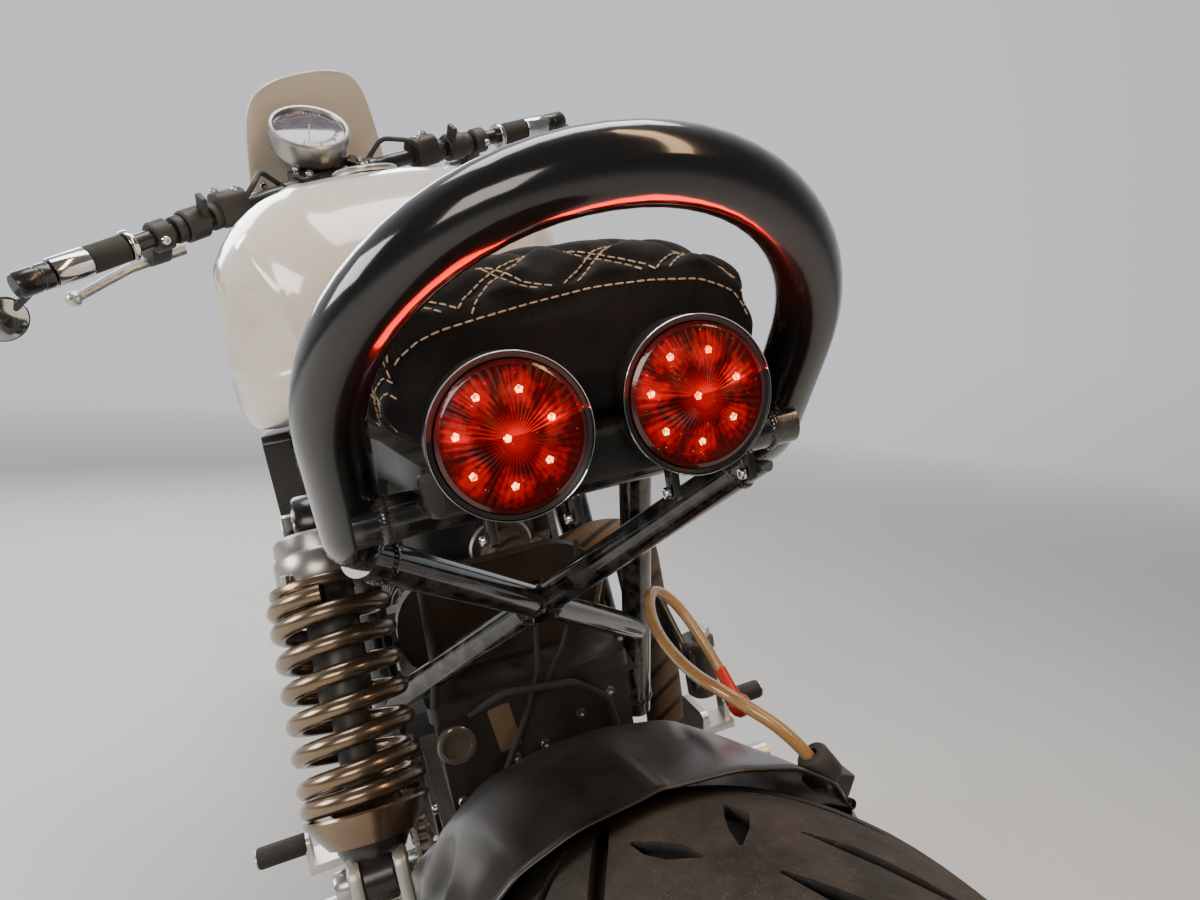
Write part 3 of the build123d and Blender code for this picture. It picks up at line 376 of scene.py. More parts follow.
class Wiring:
    """Short way to add and join the nodes of one material or node group."""

    def __init__(self, tree):
        self.tree = tree

    def add(self, kind, inputs=None, **settings):
        node = self.tree.nodes.new(kind)
        for key, value in settings.items():
            setattr(node, key, value)
        for key, value in (inputs or {}).items():
            self.join(value, node.inputs[key])
        return node

    def join(self, value, socket):
        """Link a socket to another, or give it a plain value."""
        if isinstance(value, bpy.types.NodeSocket):
            self.tree.links.new(value, socket)
        else:
            socket.default_value = value

    def feed(self, node, **inputs):
        """Fill inputs by name, with _ for each space."""
        for key, value in inputs.items():
            self.join(value, node.inputs[key.replace("_", " ")])

    def calc(self, operation, *values):
        """Result of a maths node."""
        return self.add("ShaderNodeMath", dict(enumerate(values)), operation=operation).outputs[0]

    def times(self, *values):
        return self.calc("MULTIPLY", *values)

    def noise(self, here, scale, detail=2.0, **more):
        inputs = {"Vector": here, "Scale": scale, "Detail": detail, **more}
        return self.add("ShaderNodeTexNoise", inputs).outputs[0]

    def blend(self, share, first, second):
        inputs = {0: share, 6: first, 7: second}
        return self.add("ShaderNodeMix", inputs, data_type="RGBA").outputs[2]

    def ramp(self, value, low, high, to_low=0.0, to_high=1.0):
        inputs = {0: value, 1: low, 2: high, 3: to_low, 4: to_high}
        return self.add("ShaderNodeMapRange", inputs, clamp=True).outputs[0]


def new_group(name, setting, result):
    """Node group that takes a vector and one number and gives one number."""
    tree = bpy.data.node_groups.new(name, "ShaderNodeTree")
    tree.interface.new_socket(name="Vector", in_out="INPUT", socket_type="NodeSocketVector")
    if setting:
        tree.interface.new_socket(name=setting, in_out="INPUT", socket_type="NodeSocketFloat")
    tree.interface.new_socket(name=result, in_out="OUTPUT", socket_type="NodeSocketFloat")
    wiring = Wiring(tree)
    into = wiring.add("NodeGroupInput").outputs
    out = wiring.add("NodeGroupOutput").inputs[0]
    return wiring, into[0], into[1], out


def mottle_group():
    """Soft patches of tone."""
    wiring, here, scale, out = new_group("Mottle", "Scale", "Value")
    noise = wiring.noise(here, scale, 5.0, Roughness=0.6)
    wiring.join(wiring.ramp(noise, 0.34, 0.66), out)
    return wiring.tree


def grain_group():
    """Fine surface grain, as a height."""
    wiring, here, scale, out = new_group("Grain", "Scale", "Height")
    noise = wiring.noise(here, scale, 3.0)
    broad = wiring.noise(here, wiring.times(scale, 0.22))
    wiring.join(wiring.calc("ADD", noise, broad), out)
    return wiring.tree


def wear_group():
    """Mask that is bright where handled edges have rubbed."""
    wiring, here, amount, out = new_group("Edge wear", "Amount", "Mask")
    edge = wiring.add("ShaderNodeNewGeometry").outputs["Pointiness"]
    noise = wiring.noise(here, 90.0, 6.0)
    rubbed = wiring.ramp(edge, 0.53, 0.6)
    patchy = wiring.ramp(noise, 0.42, 0.62)
    wiring.join(wiring.times(wiring.times(rubbed, patchy), amount), out)
    return wiring.tree


def dust_group():
    """Mask of dust that settles on faces that look up."""
    wiring, here, amount, out = new_group("Settled dust", "Amount", "Mask")
    facing = wiring.add("ShaderNodeNewGeometry").outputs["Normal"]
    up = wiring.add("ShaderNodeSeparateXYZ", {0: facing}).outputs[2]
    noise = wiring.noise(here, 34.0, 8.0, Roughness=0.7)
    patch = wiring.times(wiring.ramp(up, 0.1, 1.0), wiring.ramp(noise, 0.4, 0.75))
    wiring.join(wiring.times(patch, amount), out)
    return wiring.tree


def speckle_group():
    """Mask of small bright specks."""
    wiring, here, scale, out = new_group("Specks", "Scale", "Mask")
    cells = wiring.add("ShaderNodeTexVoronoi", {"Vector": here, "Scale": scale})
    wiring.join(wiring.ramp(cells.outputs["Distance"], 0.16, 0.07), out)
    return wiring.tree


def brushed_group():
    """Long fine lines left by a brush or a lathe tool, as a height."""
    wiring, here, _, out = new_group("Brushed", None, "Height")
    long = wiring.add("ShaderNodeMapping", {"Vector": here, "Scale": (30.0, 900.0, 900.0)})
    wiring.join(wiring.noise(long.outputs[0], 1.0, 3.0), out)
    return wiring.tree


GROUPS = {}
FINISHES = {}


def group_in(wiring, name, **values):
    """Add one of the GROUPS and give its result."""
    node = wiring.add("ShaderNodeGroup")
    node.node_tree = GROUPS[name]
    wiring.feed(node, **{key.capitalize(): value for key, value in values.items()})
    return node.outputs[0]


def new_material(name):
    """Material that FINISHES keeps; gives its wiring, shader and coordinates."""
    material = bpy.data.materials.new(name)
    FINISHES[name] = material
    material.use_nodes = True
    tree = material.node_tree
    tree.nodes.clear()
    wiring = Wiring(tree)
    shader = wiring.add("ShaderNodeBsdfPrincipled")
    out = wiring.add("ShaderNodeOutputMaterial")
    tree.links.new(shader.outputs[0], out.inputs[0])
    return wiring, shader, wiring.add("ShaderNodeTexCoord").outputs["Object"]


def rgba(colour):
    return (*colour[:3], 1.0)


def bumped(wiring, shader, height, strength, depth):
    bump = wiring.add("ShaderNodeBump", {"Strength": strength, "Distance": depth, "Height": height})
    wiring.feed(shader, Normal=bump.outputs[0])


def finish(slot, colour, second, rough, metallic=0.0, mottle=14.0, grain=500.0, depth=0.0004,
           strength=0.25, wear=0.0, worn=(0.5, 0.48, 0.45), dust=0.15, brushed=False, **plain):
    """Material of the usual kind: mottled tone, grain, rubbed edges and settled dust."""
    wiring, shader, here = new_material(slot)
    patches = group_in(wiring, "mottle", vector=here, scale=mottle)
    tone = wiring.blend(patches, rgba(colour), rgba(second))
    roughness = wiring.ramp(patches, 0.0, 1.0, rough[0], rough[1])
    if wear:
        rubbed = group_in(wiring, "wear", vector=here, amount=wear)
        tone = wiring.blend(rubbed, tone, rgba(worn))
    if dust:
        settled = group_in(wiring, "dust", vector=here, amount=dust)
        tone = wiring.blend(settled, tone, rgba((0.30, 0.25, 0.20)))
        roughness = wiring.calc("ADD", roughness, wiring.times(settled, 0.5))
    if brushed:
        height = group_in(wiring, "brushed", vector=here)
    else:
        height = group_in(wiring, "grain", vector=here, scale=grain)
    wiring.feed(shader, Base_Color=tone, Roughness=roughness)
    bumped(wiring, shader, height, strength, depth)
    wiring.feed(shader, Metallic=metallic, **plain)
    return FINISHES[slot]


def suede_finish(colour):
    """Short napped suede with brushed patches and a soft sheen."""
    wiring, shader, here = new_material("seat_suede")
    brushed_way = group_in(wiring, "mottle", vector=here, scale=38.0)
    nap = wiring.noise(here, 1500.0, 3.0)
    lighter = [part * 1.7 + 0.002 for part in colour[:3]]
    tone = wiring.blend(brushed_way, rgba(colour), rgba(lighter))
    tone = wiring.blend(wiring.ramp(nap, 0.5, 0.85, 0.0, 0.6), tone, rgba((0.05, 0.043, 0.038)))
    wiring.feed(shader, Base_Color=tone, Roughness=0.93, Specular_IOR_Level=0.12, Sheen_Weight=0.16,
                Sheen_Roughness=0.35, Sheen_Tint=(0.5, 0.46, 0.42, 1.0))
    bumped(wiring, shader, nap, 0.5, 0.0005)


def thread_finish(colour):
    """Twisted thread, darker in the hollows of its lay: painted shade."""
    wiring, shader, here = new_material("stitch_thread")
    lay = wiring.add("ShaderNodeTexWave", {"Vector": here, "Scale": 900.0, "Distortion": 2.0})
    # Painted shade: the low parts of the twist are darkened.
    tone = wiring.blend(lay.outputs[1], rgba([part * 0.7 for part in colour[:3]]), rgba(colour))
    wiring.feed(shader, Base_Color=tone, Roughness=0.7)
    bumped(wiring, shader, lay.outputs[1], 0.4, 0.0002)


def tyre_finish(colour):
    """Scuffed, dusty rubber with pale specks and fibres, and painted shade deep in the tread grooves."""
    wiring, shader, here = new_material("tyre_rubber")
    patches = group_in(wiring, "mottle", vector=here, scale=22.0)
    specks = group_in(wiring, "specks", vector=here, scale=560.0)
    thin = wiring.noise(here, 75.0, 2.0)
    specks = wiring.times(specks, wiring.ramp(thin, 0.5, 0.7, 0.0, 0.8))
    dirty = wiring.blend(patches, rgba(colour), rgba([part * 1.9 for part in colour[:3]]))
    settled = group_in(wiring, "dust", vector=here, amount=0.55)
    dirty = wiring.blend(settled, dirty, rgba((0.13, 0.098, 0.072)))
    tone = wiring.blend(specks, dirty, rgba((0.34, 0.28, 0.22)))
    curl = wiring.noise(here, 420.0, 1.0)
    fibre = wiring.ramp(wiring.calc("ABSOLUTE", wiring.calc("SUBTRACT", curl, 0.5)), 0.012, 0.003)
    some = wiring.noise(here, 130.0, 2.0)
    tone = wiring.blend(wiring.times(fibre, wiring.ramp(some, 0.44, 0.62, 0.0, 0.45)), tone,
                        rgba((0.24, 0.20, 0.16)))
    # Painted shade: the deeper a point lies in a tread groove, the nearer to black it is painted.
    groove = wiring.add("ShaderNodeAttribute", attribute_name="Groove").outputs["Fac"]
    tone = wiring.blend(wiring.ramp(groove, 0.05, 0.8), tone, rgba((0.006, 0.005, 0.0045)))
    rough = wiring.ramp(patches, 0, 1, 0.72, 0.88)
    wiring.feed(shader, Base_Color=tone, Roughness=rough, Specular_IOR_Level=0.35)
    scuffs = wiring.noise(here, 420.0, 6.0, Roughness=0.75)
    bumped(wiring, shader, scuffs, 0.5, 0.0008)


def lamp_finish(colour, glow):
    """Lit red lens: small lamps behind ribbed plastic, read from the lens's own face map."""
    wiring, shader, here = new_material("lamp_red")
    face = wiring.add("ShaderNodeUVMap", uv_map="Face").outputs[0]
    parts = wiring.add("ShaderNodeSeparateXYZ", {0: face}).outputs

    def polar(middle):
        """Angle and distance round a spot of the face map."""
        up, out = [wiring.calc("SUBTRACT", parts[n], middle[n]) for n in (0, 1)]
        gap = wiring.add("ShaderNodeVectorMath", {0: face, 1: (*middle, 0.0)}, operation="DISTANCE")
        return wiring.calc("ARCTAN2", out, up), wiring.times(gap.outputs["Value"], 2.0)

    angle, radius = polar((0.5, 0.5))
    ribs = wiring.ramp(wiring.calc("SINE", wiring.times(angle, float(LENS_RIBS))), 0.1, 0.8)
    round_board, reach = polar((0.518, 0.558))
    near = wiring.calc("WRAP", round_board, math.tau / SMALL_LAMPS, 0.0)
    near = wiring.calc("SUBTRACT", near, math.pi / SMALL_LAMPS)
    along = wiring.calc("SUBTRACT", wiring.times(reach, wiring.calc("COSINE", near)), 0.68)
    aside = wiring.times(reach, wiring.calc("SINE", near))
    far = wiring.calc("SQRT", wiring.calc("ADD", wiring.times(along, along), wiring.times(aside, aside)))
    spread = wiring.noise(here, 260.0, 4.0)
    far = wiring.calc("ADD", far, wiring.ramp(spread, 0.3, 0.7, -0.11, 0.11))
    pool = wiring.ramp(far, 0.32, 0.10)
    hub = wiring.ramp(radius, 0.42, 0.12)
    bright = wiring.calc("MAXIMUM", pool, hub)
    inward = wiring.times(wiring.ramp(radius, 0.12, 0.2), wiring.ramp(radius, 0.98, 0.6, 0.3, 1.0))
    dark_rib = wiring.times(wiring.times(ribs, inward), wiring.ramp(pool, 0, 1, 1.0, 0.35))
    level = wiring.times(wiring.ramp(bright, 0, 1, 0.12, 1.0), wiring.ramp(dark_rib, 0, 1, 1.0, 0.22))
    level = wiring.times(level, wiring.ramp(radius, 1.0, 0.94, 0.3, 0.9))
    tone = wiring.blend(level, rgba((0.012, 0.0, 0.0)), rgba(colour))
    glints = group_in(wiring, "specks", vector=here, scale=430.0)
    few = wiring.ramp(wiring.noise(here, 190.0), 0.56, 0.62)
    tone = wiring.blend(wiring.times(glints, few), tone, rgba((1.6, 0.55, 0.35)))
    dull = wiring.blend(level, rgba((0.01, 0.0, 0.0)), rgba([part * 0.12 for part in colour[:3]]))
    wiring.feed(shader, Base_Color=dull, Emission_Color=tone, Emission_Strength=glow, Roughness=0.3,
                Specular_IOR_Level=0.12)
    bumped(wiring, shader, ribs, 0.15, 0.0004)


def lamp_core_finish(colour, glow):
    """White-hot centre of a small lamp, orange at its rim."""
    wiring, shader, here = new_material("lamp_core")
    flicker = wiring.noise(here, 700.0, 4.0)
    tone = wiring.blend(wiring.ramp(flicker, 0.42, 0.56), rgba((0.5, 0.03, 0.005)), rgba(colour))
    wiring.feed(shader, Emission_Color=tone, Base_Color=tone, Emission_Strength=glow, Roughness=0.3)


def hose_finish():
    """Golden translucent jacket with a faint braid under it."""
    wiring, shader, here = new_material("hose_clear")
    patches = group_in(wiring, "mottle", vector=here, scale=30.0)
    braid = wiring.noise(here, 900.0, 2.0)
    warm = wiring.blend(patches, rgba((0.46, 0.25, 0.09)), rgba((0.60, 0.36, 0.15)))
    tone = wiring.blend(wiring.ramp(braid, 0.5, 0.75, 0.0, 0.3), warm, rgba((0.22, 0.11, 0.035)))
    wiring.feed(shader, Base_Color=tone, Roughness=wiring.ramp(patches, 0, 1, 0.22, 0.34),
                Transmission_Weight=0.25, Coat_Weight=1.0, Coat_Roughness=0.06)
    bumped(wiring, shader, braid, 0.06, 0.0002)


def wrap_finish():
    """Woven heat wrap on the header pipes, with painted shade in the seams between its turns."""
    wiring, shader, here = new_material("pipe_bronze")
    cloth = wiring.add("ShaderNodeMapping", {"Vector": here, "Scale": (520.0, 520.0, 520.0),
                                             "Rotation": (0.6, 0.4, 0.8)})
    weave = wiring.add("ShaderNodeTexChecker", {"Vector": cloth.outputs[0], "Scale": 1.0})
    turns = wiring.add("ShaderNodeTexWave", {"Vector": here, "Scale": 20.0, "Distortion": 0.6},
                       bands_direction="DIAGONAL").outputs[1]
    patches = group_in(wiring, "mottle", vector=here, scale=16.0)
    tone = wiring.blend(patches, rgba((0.085, 0.050, 0.025)), rgba((0.20, 0.12, 0.06)))
    tone = wiring.blend(wiring.times(weave.outputs[1], 0.4), tone, rgba((0.02, 0.012, 0.007)))
    # Painted shade: the seams between the wrap's turns are darkened to near black.
    tone = wiring.blend(wiring.ramp(turns, 0.3, 0.0), tone, rgba((0.008, 0.005, 0.003)))
    wiring.feed(shader, Base_Color=tone, Roughness=wiring.ramp(patches, 0, 1, 0.5, 0.7), Metallic=0.3)
    raised = wiring.calc("ADD", turns, wiring.times(weave.outputs[1], 0.25))
    bumped(wiring, shader, raised, 0.6, 0.0016)


def make_finishes():
    """Every finish of the machine."""
    GROUPS.update(mottle=mottle_group(), grain=grain_group(), wear=wear_group(), dust=dust_group(),
                  specks=speckle_group(), brushed=brushed_group())
    black = matched("frame_colour")[:3]
    cream = matched("paint_colour")[:3]
    bronze = matched("spring_colour")[:3]
    finish("frame_black", black, [part * 1.2 for part in black], (0.12, 0.18), grain=900.0,
           strength=0.02, wear=0.12, dust=0.02, Coat_Weight=0.6, Coat_Roughness=0.05)
    finish("gloss_black", black, (0.016, 0.0135, 0.0115), (0.24, 0.34), grain=700.0, strength=0.05,
           dust=0.05, Coat_Weight=0.3, Coat_Roughness=0.14)
    finish("arm_silver", (0.48, 0.47, 0.45), (0.62, 0.60, 0.57), (0.3, 0.44), metallic=0.75,
           grain=1100.0, strength=0.16, wear=0.3, worn=(0.8, 0.78, 0.75), dust=0.2)
    finish("steel", (0.42, 0.41, 0.40), (0.60, 0.59, 0.57), (0.22, 0.36), metallic=1.0, brushed=True,
           strength=0.12, dust=0.08)
    finish("spring_bronze", bronze, [part * 0.72 for part in bronze], (0.2, 0.3), metallic=0.9,
           mottle=30.0, grain=800.0, strength=0.06, dust=0.08, Coat_Weight=0.5, Coat_Roughness=0.12)
    finish("engine_alloy", (0.075, 0.068, 0.060), (0.12, 0.108, 0.095), (0.42, 0.6), metallic=0.6,
           grain=650.0, strength=0.4, depth=0.0008, wear=0.4, worn=(0.4, 0.37, 0.33), dust=0.2)
    finish("fin_alloy", (0.035, 0.034, 0.033), (0.065, 0.062, 0.06), (0.45, 0.6), metallic=0.3,
           grain=600.0, strength=0.35, wear=0.8, worn=(0.5, 0.48, 0.45), dust=0.3)
    finish("silencer_black", (0.022, 0.021, 0.02), (0.04, 0.037, 0.034), (0.34, 0.5), metallic=0.2,
           grain=900.0, strength=0.15, dust=0.2)
    finish("black_plastic", (0.016, 0.015, 0.014), (0.032, 0.03, 0.028), (0.42, 0.58), grain=1300.0,
           strength=0.3, dust=0.3)
    finish("cream_paint", cream, [part * 0.93 for part in cream], (0.16, 0.22), mottle=5.0, grain=1500.0,
           strength=0.035, dust=0.04, Coat_Weight=1.0, Coat_Roughness=0.05)
    finish("cap_alloy", (0.55, 0.54, 0.52), (0.68, 0.67, 0.65), (0.2, 0.32), metallic=1.0, brushed=True,
           strength=0.15, dust=0.05)
    finish("lamp_chrome", (0.60, 0.59, 0.58), (0.74, 0.72, 0.70), (0.06, 0.14), metallic=1.0,
           mottle=40.0, strength=0.05, dust=0.04)
    finish("caliper_black", (0.02, 0.019, 0.018), (0.04, 0.036, 0.033), (0.38, 0.5), metallic=0.2,
           grain=900.0, strength=0.2, wear=0.4, dust=0.25)
    finish("alloy", (0.50, 0.49, 0.47), (0.64, 0.62, 0.60), (0.26, 0.4), metallic=0.95, grain=800.0,
           strength=0.12, dust=0.1)
    finish("chain_steel", (0.20, 0.17, 0.13), (0.34, 0.30, 0.24), (0.34, 0.5), metallic=0.9, mottle=60.0,
           grain=700.0, strength=0.2, dust=0.25)
    finish("rim_black", (0.020, 0.0195, 0.019), (0.034, 0.032, 0.03), (0.3, 0.42), grain=1000.0,
           strength=0.12, wear=0.2, dust=0.3, Coat_Weight=0.3)
    finish("disc_steel", (0.46, 0.45, 0.44), (0.58, 0.56, 0.54), (0.26, 0.38), metallic=1.0,
           brushed=True, strength=0.2, mottle=26.0, dust=0.08)
    finish("grip_rubber", (0.014, 0.0135, 0.013), (0.03, 0.028, 0.026), (0.7, 0.85), grain=1400.0,
           strength=0.4, dust=0.2)
    finish("gauge_metal", (0.30, 0.285, 0.27), (0.42, 0.40, 0.38), (0.24, 0.36), metallic=0.9,
           brushed=True, strength=0.1, dust=0.05)
    finish("clear_lens", (0.045, 0.037, 0.052), (0.085, 0.07, 0.09), (0.04, 0.09), mottle=50.0,
           strength=0.03, dust=0.06, Coat_Weight=1.0, Coat_Roughness=0.02)
    suede_finish(matched("seat_colour"))
    thread_finish(matched("stitch_colour"))
    tyre_finish(matched("tyre_colour"))
    lamp_finish(matched("lamp_colour"), matched("lamp_glow"))
    lamp_core_finish((1.0, 0.62, 0.22), matched("lamp_glow") * 8)
    hose_finish()
    wrap_finish()


# Stage: camera, floor and light

PHOTO_WIDTH, FOCAL_PIXELS, SENSOR_WIDTH = 1200.0, 860.1, 36.0
VIEW_FROM = (-0.2226, 0.3066, 0.8054)
VIEW_TURN = (19.505, 7.402, 3.567)


def make_camera():
    """Camera of the photograph: behind the machine, above its left side."""
    yaw, dip, roll = map(math.radians, VIEW_TURN)
    ahead = Vector((math.cos(dip) * math.cos(yaw), -math.cos(dip) * math.sin(yaw), -math.sin(dip)))
    level = Vector((-math.sin(yaw), -math.cos(yaw), 0))
    down = ahead.cross(level)
    right = level * math.cos(roll) - down * math.sin(roll)
    lower = level * math.sin(roll) + down * math.cos(roll)
    data = bpy.data.cameras.new("View")
    data.sensor_width = SENSOR_WIDTH
    data.lens = FOCAL_PIXELS * SENSOR_WIDTH / PHOTO_WIDTH
    data.clip_start = 0.02
    camera = added("View", data)
    turn = Matrix((right, -lower, -ahead)).transposed().to_4x4()
    eye = shift(VIEW_FROM) @ turn
    camera.matrix_world = STANDING @ swung(LEAN, "X") @ eye
    bpy.context.scene.camera = camera


def soft_light(name, place, target, width, height, power, colour=(1, 1, 1)):
    """Rectangular light that faces a target."""
    data = bpy.data.lights.new(name, "AREA")
    data.shape = "RECTANGLE"
    data.size, data.size_y = width, height
    data.energy = power
    data.color = colour
    lamp = added(name, data)
    lamp.matrix_world = aimed(place, Vector(place) - Vector(target))
    return lamp


SKY = (0.95, 0.965, 1.0)
NIGHT = (0.0, 0.0, 0.0, 1.0)


def make_stage():
    """Floor that fades into a plain backdrop, window lights and the lamps' spill."""
    bm = bmesh.new()
    bmesh.ops.create_grid(bm, x_segments=8, y_segments=8, size=60.0)
    bmesh.ops.translate(bm, vec=(0, 0, -0.0008), verts=bm.verts)
    mesh = kept(bm)
    floor = added("studio_floor", mesh)
    wiring, shader, here = new_material("studio_floor")
    pale = matched("floor_colour")[:3]
    patches = group_in(wiring, "mottle", vector=here, scale=2.0)
    tone = wiring.blend(patches, rgba(pale), rgba([part * 0.96 for part in pale]))
    wiring.feed(shader, Roughness=0.75)
    bumped(wiring, shader, group_in(wiring, "grain", vector=here, scale=220.0), 0.1, 0.0005)
    away = wiring.add("ShaderNodeVectorMath", {0: here}, operation="LENGTH").outputs["Value"]
    out = wiring.add("ShaderNodeVectorMath", {0: here}, operation="NORMALIZE").outputs[0]
    ahead = wiring.add("ShaderNodeSeparateXYZ", {0: out}).outputs[0]
    far = wiring.ramp(away, 2.2, 7.0)
    glow = wiring.times(wiring.ramp(ahead, -0.2, 0.75, 0.16, 0.72), far)
    wiring.feed(shader, Base_Color=wiring.blend(far, tone, NIGHT), Emission_Strength=1.0,
                Emission_Color=wiring.blend(glow, NIGHT, rgba(SKY)))
    mesh.materials.append(FINISHES["studio_floor"])
    world = bpy.data.worlds.new("Studio")
    bpy.context.scene.world = world
    world.use_nodes = True
    sky = Wiring(world.node_tree)
    way = sky.add("ShaderNodeSeparateXYZ", {0: sky.add("ShaderNodeTexCoord").outputs["Generated"]}).outputs
    light = sky.ramp(way[0], -0.2, 0.75, 0.16, 0.80)
    sky.feed(world.node_tree.nodes["Background"], Color=rgba(SKY), Strength=light)
    soft_light("overhead", (0.4, 0.1, 2.9), (0, 0, 0.6), 2.2, 1.0, 48)
    soft_light("left_window", (-0.2, 2.9, 1.6), (-0.1, 0, 0.7), 1.6, 1.1, 62, (1.0, 0.97, 0.93))
    soft_light("front_window", (3.2, 0.8, 1.9), (0.2, 0, 0.8), 2.4, 1.2, 70, (0.95, 0.98, 1.0))
    soft_light("warm_strip", (-1.3, -0.7, 2.3), (0, 0, 0.8), 0.24, 2.2, 20, (1.0, 0.66, 0.36))
    soft_light("rear_fill", (-2.6, 0.9, 1.4), (-0.3, 0, 0.4), 1.2, 0.9, 22, (1.0, 0.90, 0.80))
    for side in (1, -1):
        spot, target = [MACHINE @ Vector((LAMP_FRONT_X - 9 - out, side * LAMP_Y, LAMP_Z + up))
                        for out, up in ((0, 0), (50, 90))]
        spill = soft_light("lamp_spill_" + ("left" if side > 0 else "right"), spot, target, 0.05, 0.05, 0.22,
                           (1.0, 0.02, 0.01))
        spill.visible_camera = False
    make_camera()


# Tail frame

RAIL_Y, RAIL_Z, RAIL_R = 105.0, 752.0, 14.3
HOOP_X, HOOP_INCLINE, HOOP_LENGTH = 172.0, math.radians(49.5), 178.0
HOOP_TOP = (HOOP_X - HOOP_LENGTH * math.cos(HOOP_INCLINE), RAIL_Y,
            RAIL_Z + HOOP_LENGTH * math.sin(HOOP_INCLINE))
BRACE_LOW = (442.0, 105.0, 550.0)
CROSSING = (308.0, 0.0, 648.0)


def flipped(point):
    """The point on the other side of the machine."""
    return (point[0], -point[1], point[2])


def make_tail_frame():
    """Hoop and rails in one bent tube, crossed brace, lamp tube and shock lug."""
    left = [(588, RAIL_Y, RAIL_Z), (HOOP_X, RAIL_Y, RAIL_Z), HOOP_TOP]
    route = left + [flipped(point) for point in reversed(left)]
    start = (HOOP_X + 4, RAIL_Y, RAIL_Z - 6)
    arm = (Vector(BRACE_LOW) - Vector(flipped(start))).normalized()
    shapes = [(pipe(route, [45, 104, 104, 45], RAIL_R, 48, 16), HERE),
              (pipe([start, flipped(BRACE_LOW)], (), 10.5), HERE),
              (pipe([flipped(start), BRACE_LOW], (), 10.5), HERE),
              (pipe([(142, RAIL_Y, 768), (142, -RAIL_Y, 768)], (), 10.0), HERE)]
    lug = plate([(325, 715), (355, 715), (364, 752), (316, 752)], 9, 5, 1.2)
    shapes += [(lug, side_on(110)), (lug, side_on(119 - 9.2))]
    cross = Vector(CROSSING)
    for side in (1, -1):
        way = Vector((arm.x, side * arm.y, arm.z))
        for step in (-13, 13):
            shapes += weld(cross + way * step, way, 10.2)
        end = Vector(start) if side == -1 else Vector(flipped(start))
        shapes += weld(end + way * 16, way, 10.6)
        shapes += weld((142, side * (RAIL_Y - 13), 768), (0, 1, 0), 10.0)
    gusset = plate([(296, 655), (300, 636), (318, 640), (322, 661)], 16, 4, 2)
    shapes.append((gusset, side_on(8)))
    piece("tail_hoop", shapes, "frame_black", stands_for=("tail_frame",))


TRELLIS_R, TRELLIS_THIN_R = 16.0, 12.5
TRELLIS = {
    "head_high": (1107.9, 18.0, 921.8), "head_low": (1142.3, 18.0, 846.3),
    "top_mid": (945.0, 105.0, 812.0), "top_back": (760.0, 112.0, 765.0),
    "tail": (600.0, RAIL_Y, RAIL_Z), "rail_end": (588.0, RAIL_Y, RAIL_Z),
    "low_front": (990.0, 112.0, 640.0), "engine_front": (800.0, 128.0, 500.0),
    "engine_back": (600.0, 128.0, 470.0), "stay_low": (492.0, 110.0, 450.0),
    "stay_high": (362.0, RAIL_Y, RAIL_Z - 14),
}
TRELLIS_TUBES = [
    ("head_high", "top_mid", TRELLIS_R), ("top_mid", "top_back", TRELLIS_R),
    ("top_back", "tail", TRELLIS_R), ("rail_end", "tail", TRELLIS_R),
    ("head_low", "low_front", TRELLIS_R), ("low_front", "engine_front", TRELLIS_R),
    ("engine_front", "engine_back", TRELLIS_R), ("engine_back", "stay_low", TRELLIS_THIN_R),
    ("head_low", "top_mid", TRELLIS_THIN_R), ("low_front", "top_mid", TRELLIS_THIN_R),
    ("low_front", "top_back", TRELLIS_THIN_R), ("engine_front", "top_back", TRELLIS_THIN_R),
    ("engine_back", "top_back", TRELLIS_THIN_R), ("engine_back", "tail", TRELLIS_THIN_R),
    ("stay_low", "stay_high", TRELLIS_THIN_R),
]


def make_trellis():
    """Tubular main frame with welded joints and its headstock."""
    shapes = []
    for first, second, radius in TRELLIS_TUBES:
        ends = [Vector(TRELLIS[first]), Vector(TRELLIS[second])]
        shapes += both([(pipe(ends, (), radius), HERE)])
        way = (ends[1] - ends[0]).normalized()
        if (ends[1] - ends[0]).length > 80:
            for end, step in ((ends[0], 19), (ends[1], -19)):
                shapes += both(weld(end + way * step, way, radius, 14, 2.6))
    for name in ("top_back", "tail", "low_front", "top_mid"):
        shapes.append((pipe([TRELLIS[name], flipped(TRELLIS[name])], (), TRELLIS_THIN_R), HERE))
    saddle = plate(oblong(920, 970, -30, 30), 33, 4, 2)
    shapes.append((saddle, shift(0, 0, 812)))
    piece("trellis_frame", shapes, "frame_black", stands_for=("frame",))
    head = turned([(16.5, 880), (28, 880), (30, 883), (30, 900), (27.5, 905), (27.5, 1015), (30, 1020),
                   (30, 1037), (28, 1040), (16.5, 1040), (16.5, 880)], 48)
    shell = STANDING @ shift(STEER_FOOT_X, 0, 0) @ swung(-RAKE, "Y")
    piece("headstock", [(head, HERE)], "frame_black", place=shell @ sized(0.001))


# Lamps

LAMP_FRONT_X, LAMP_Y, LAMP_Z = 98.7, 40.0, 798.0
LENS_R, LENS_RIBS, SMALL_LAMPS = 28.3, 48, 7


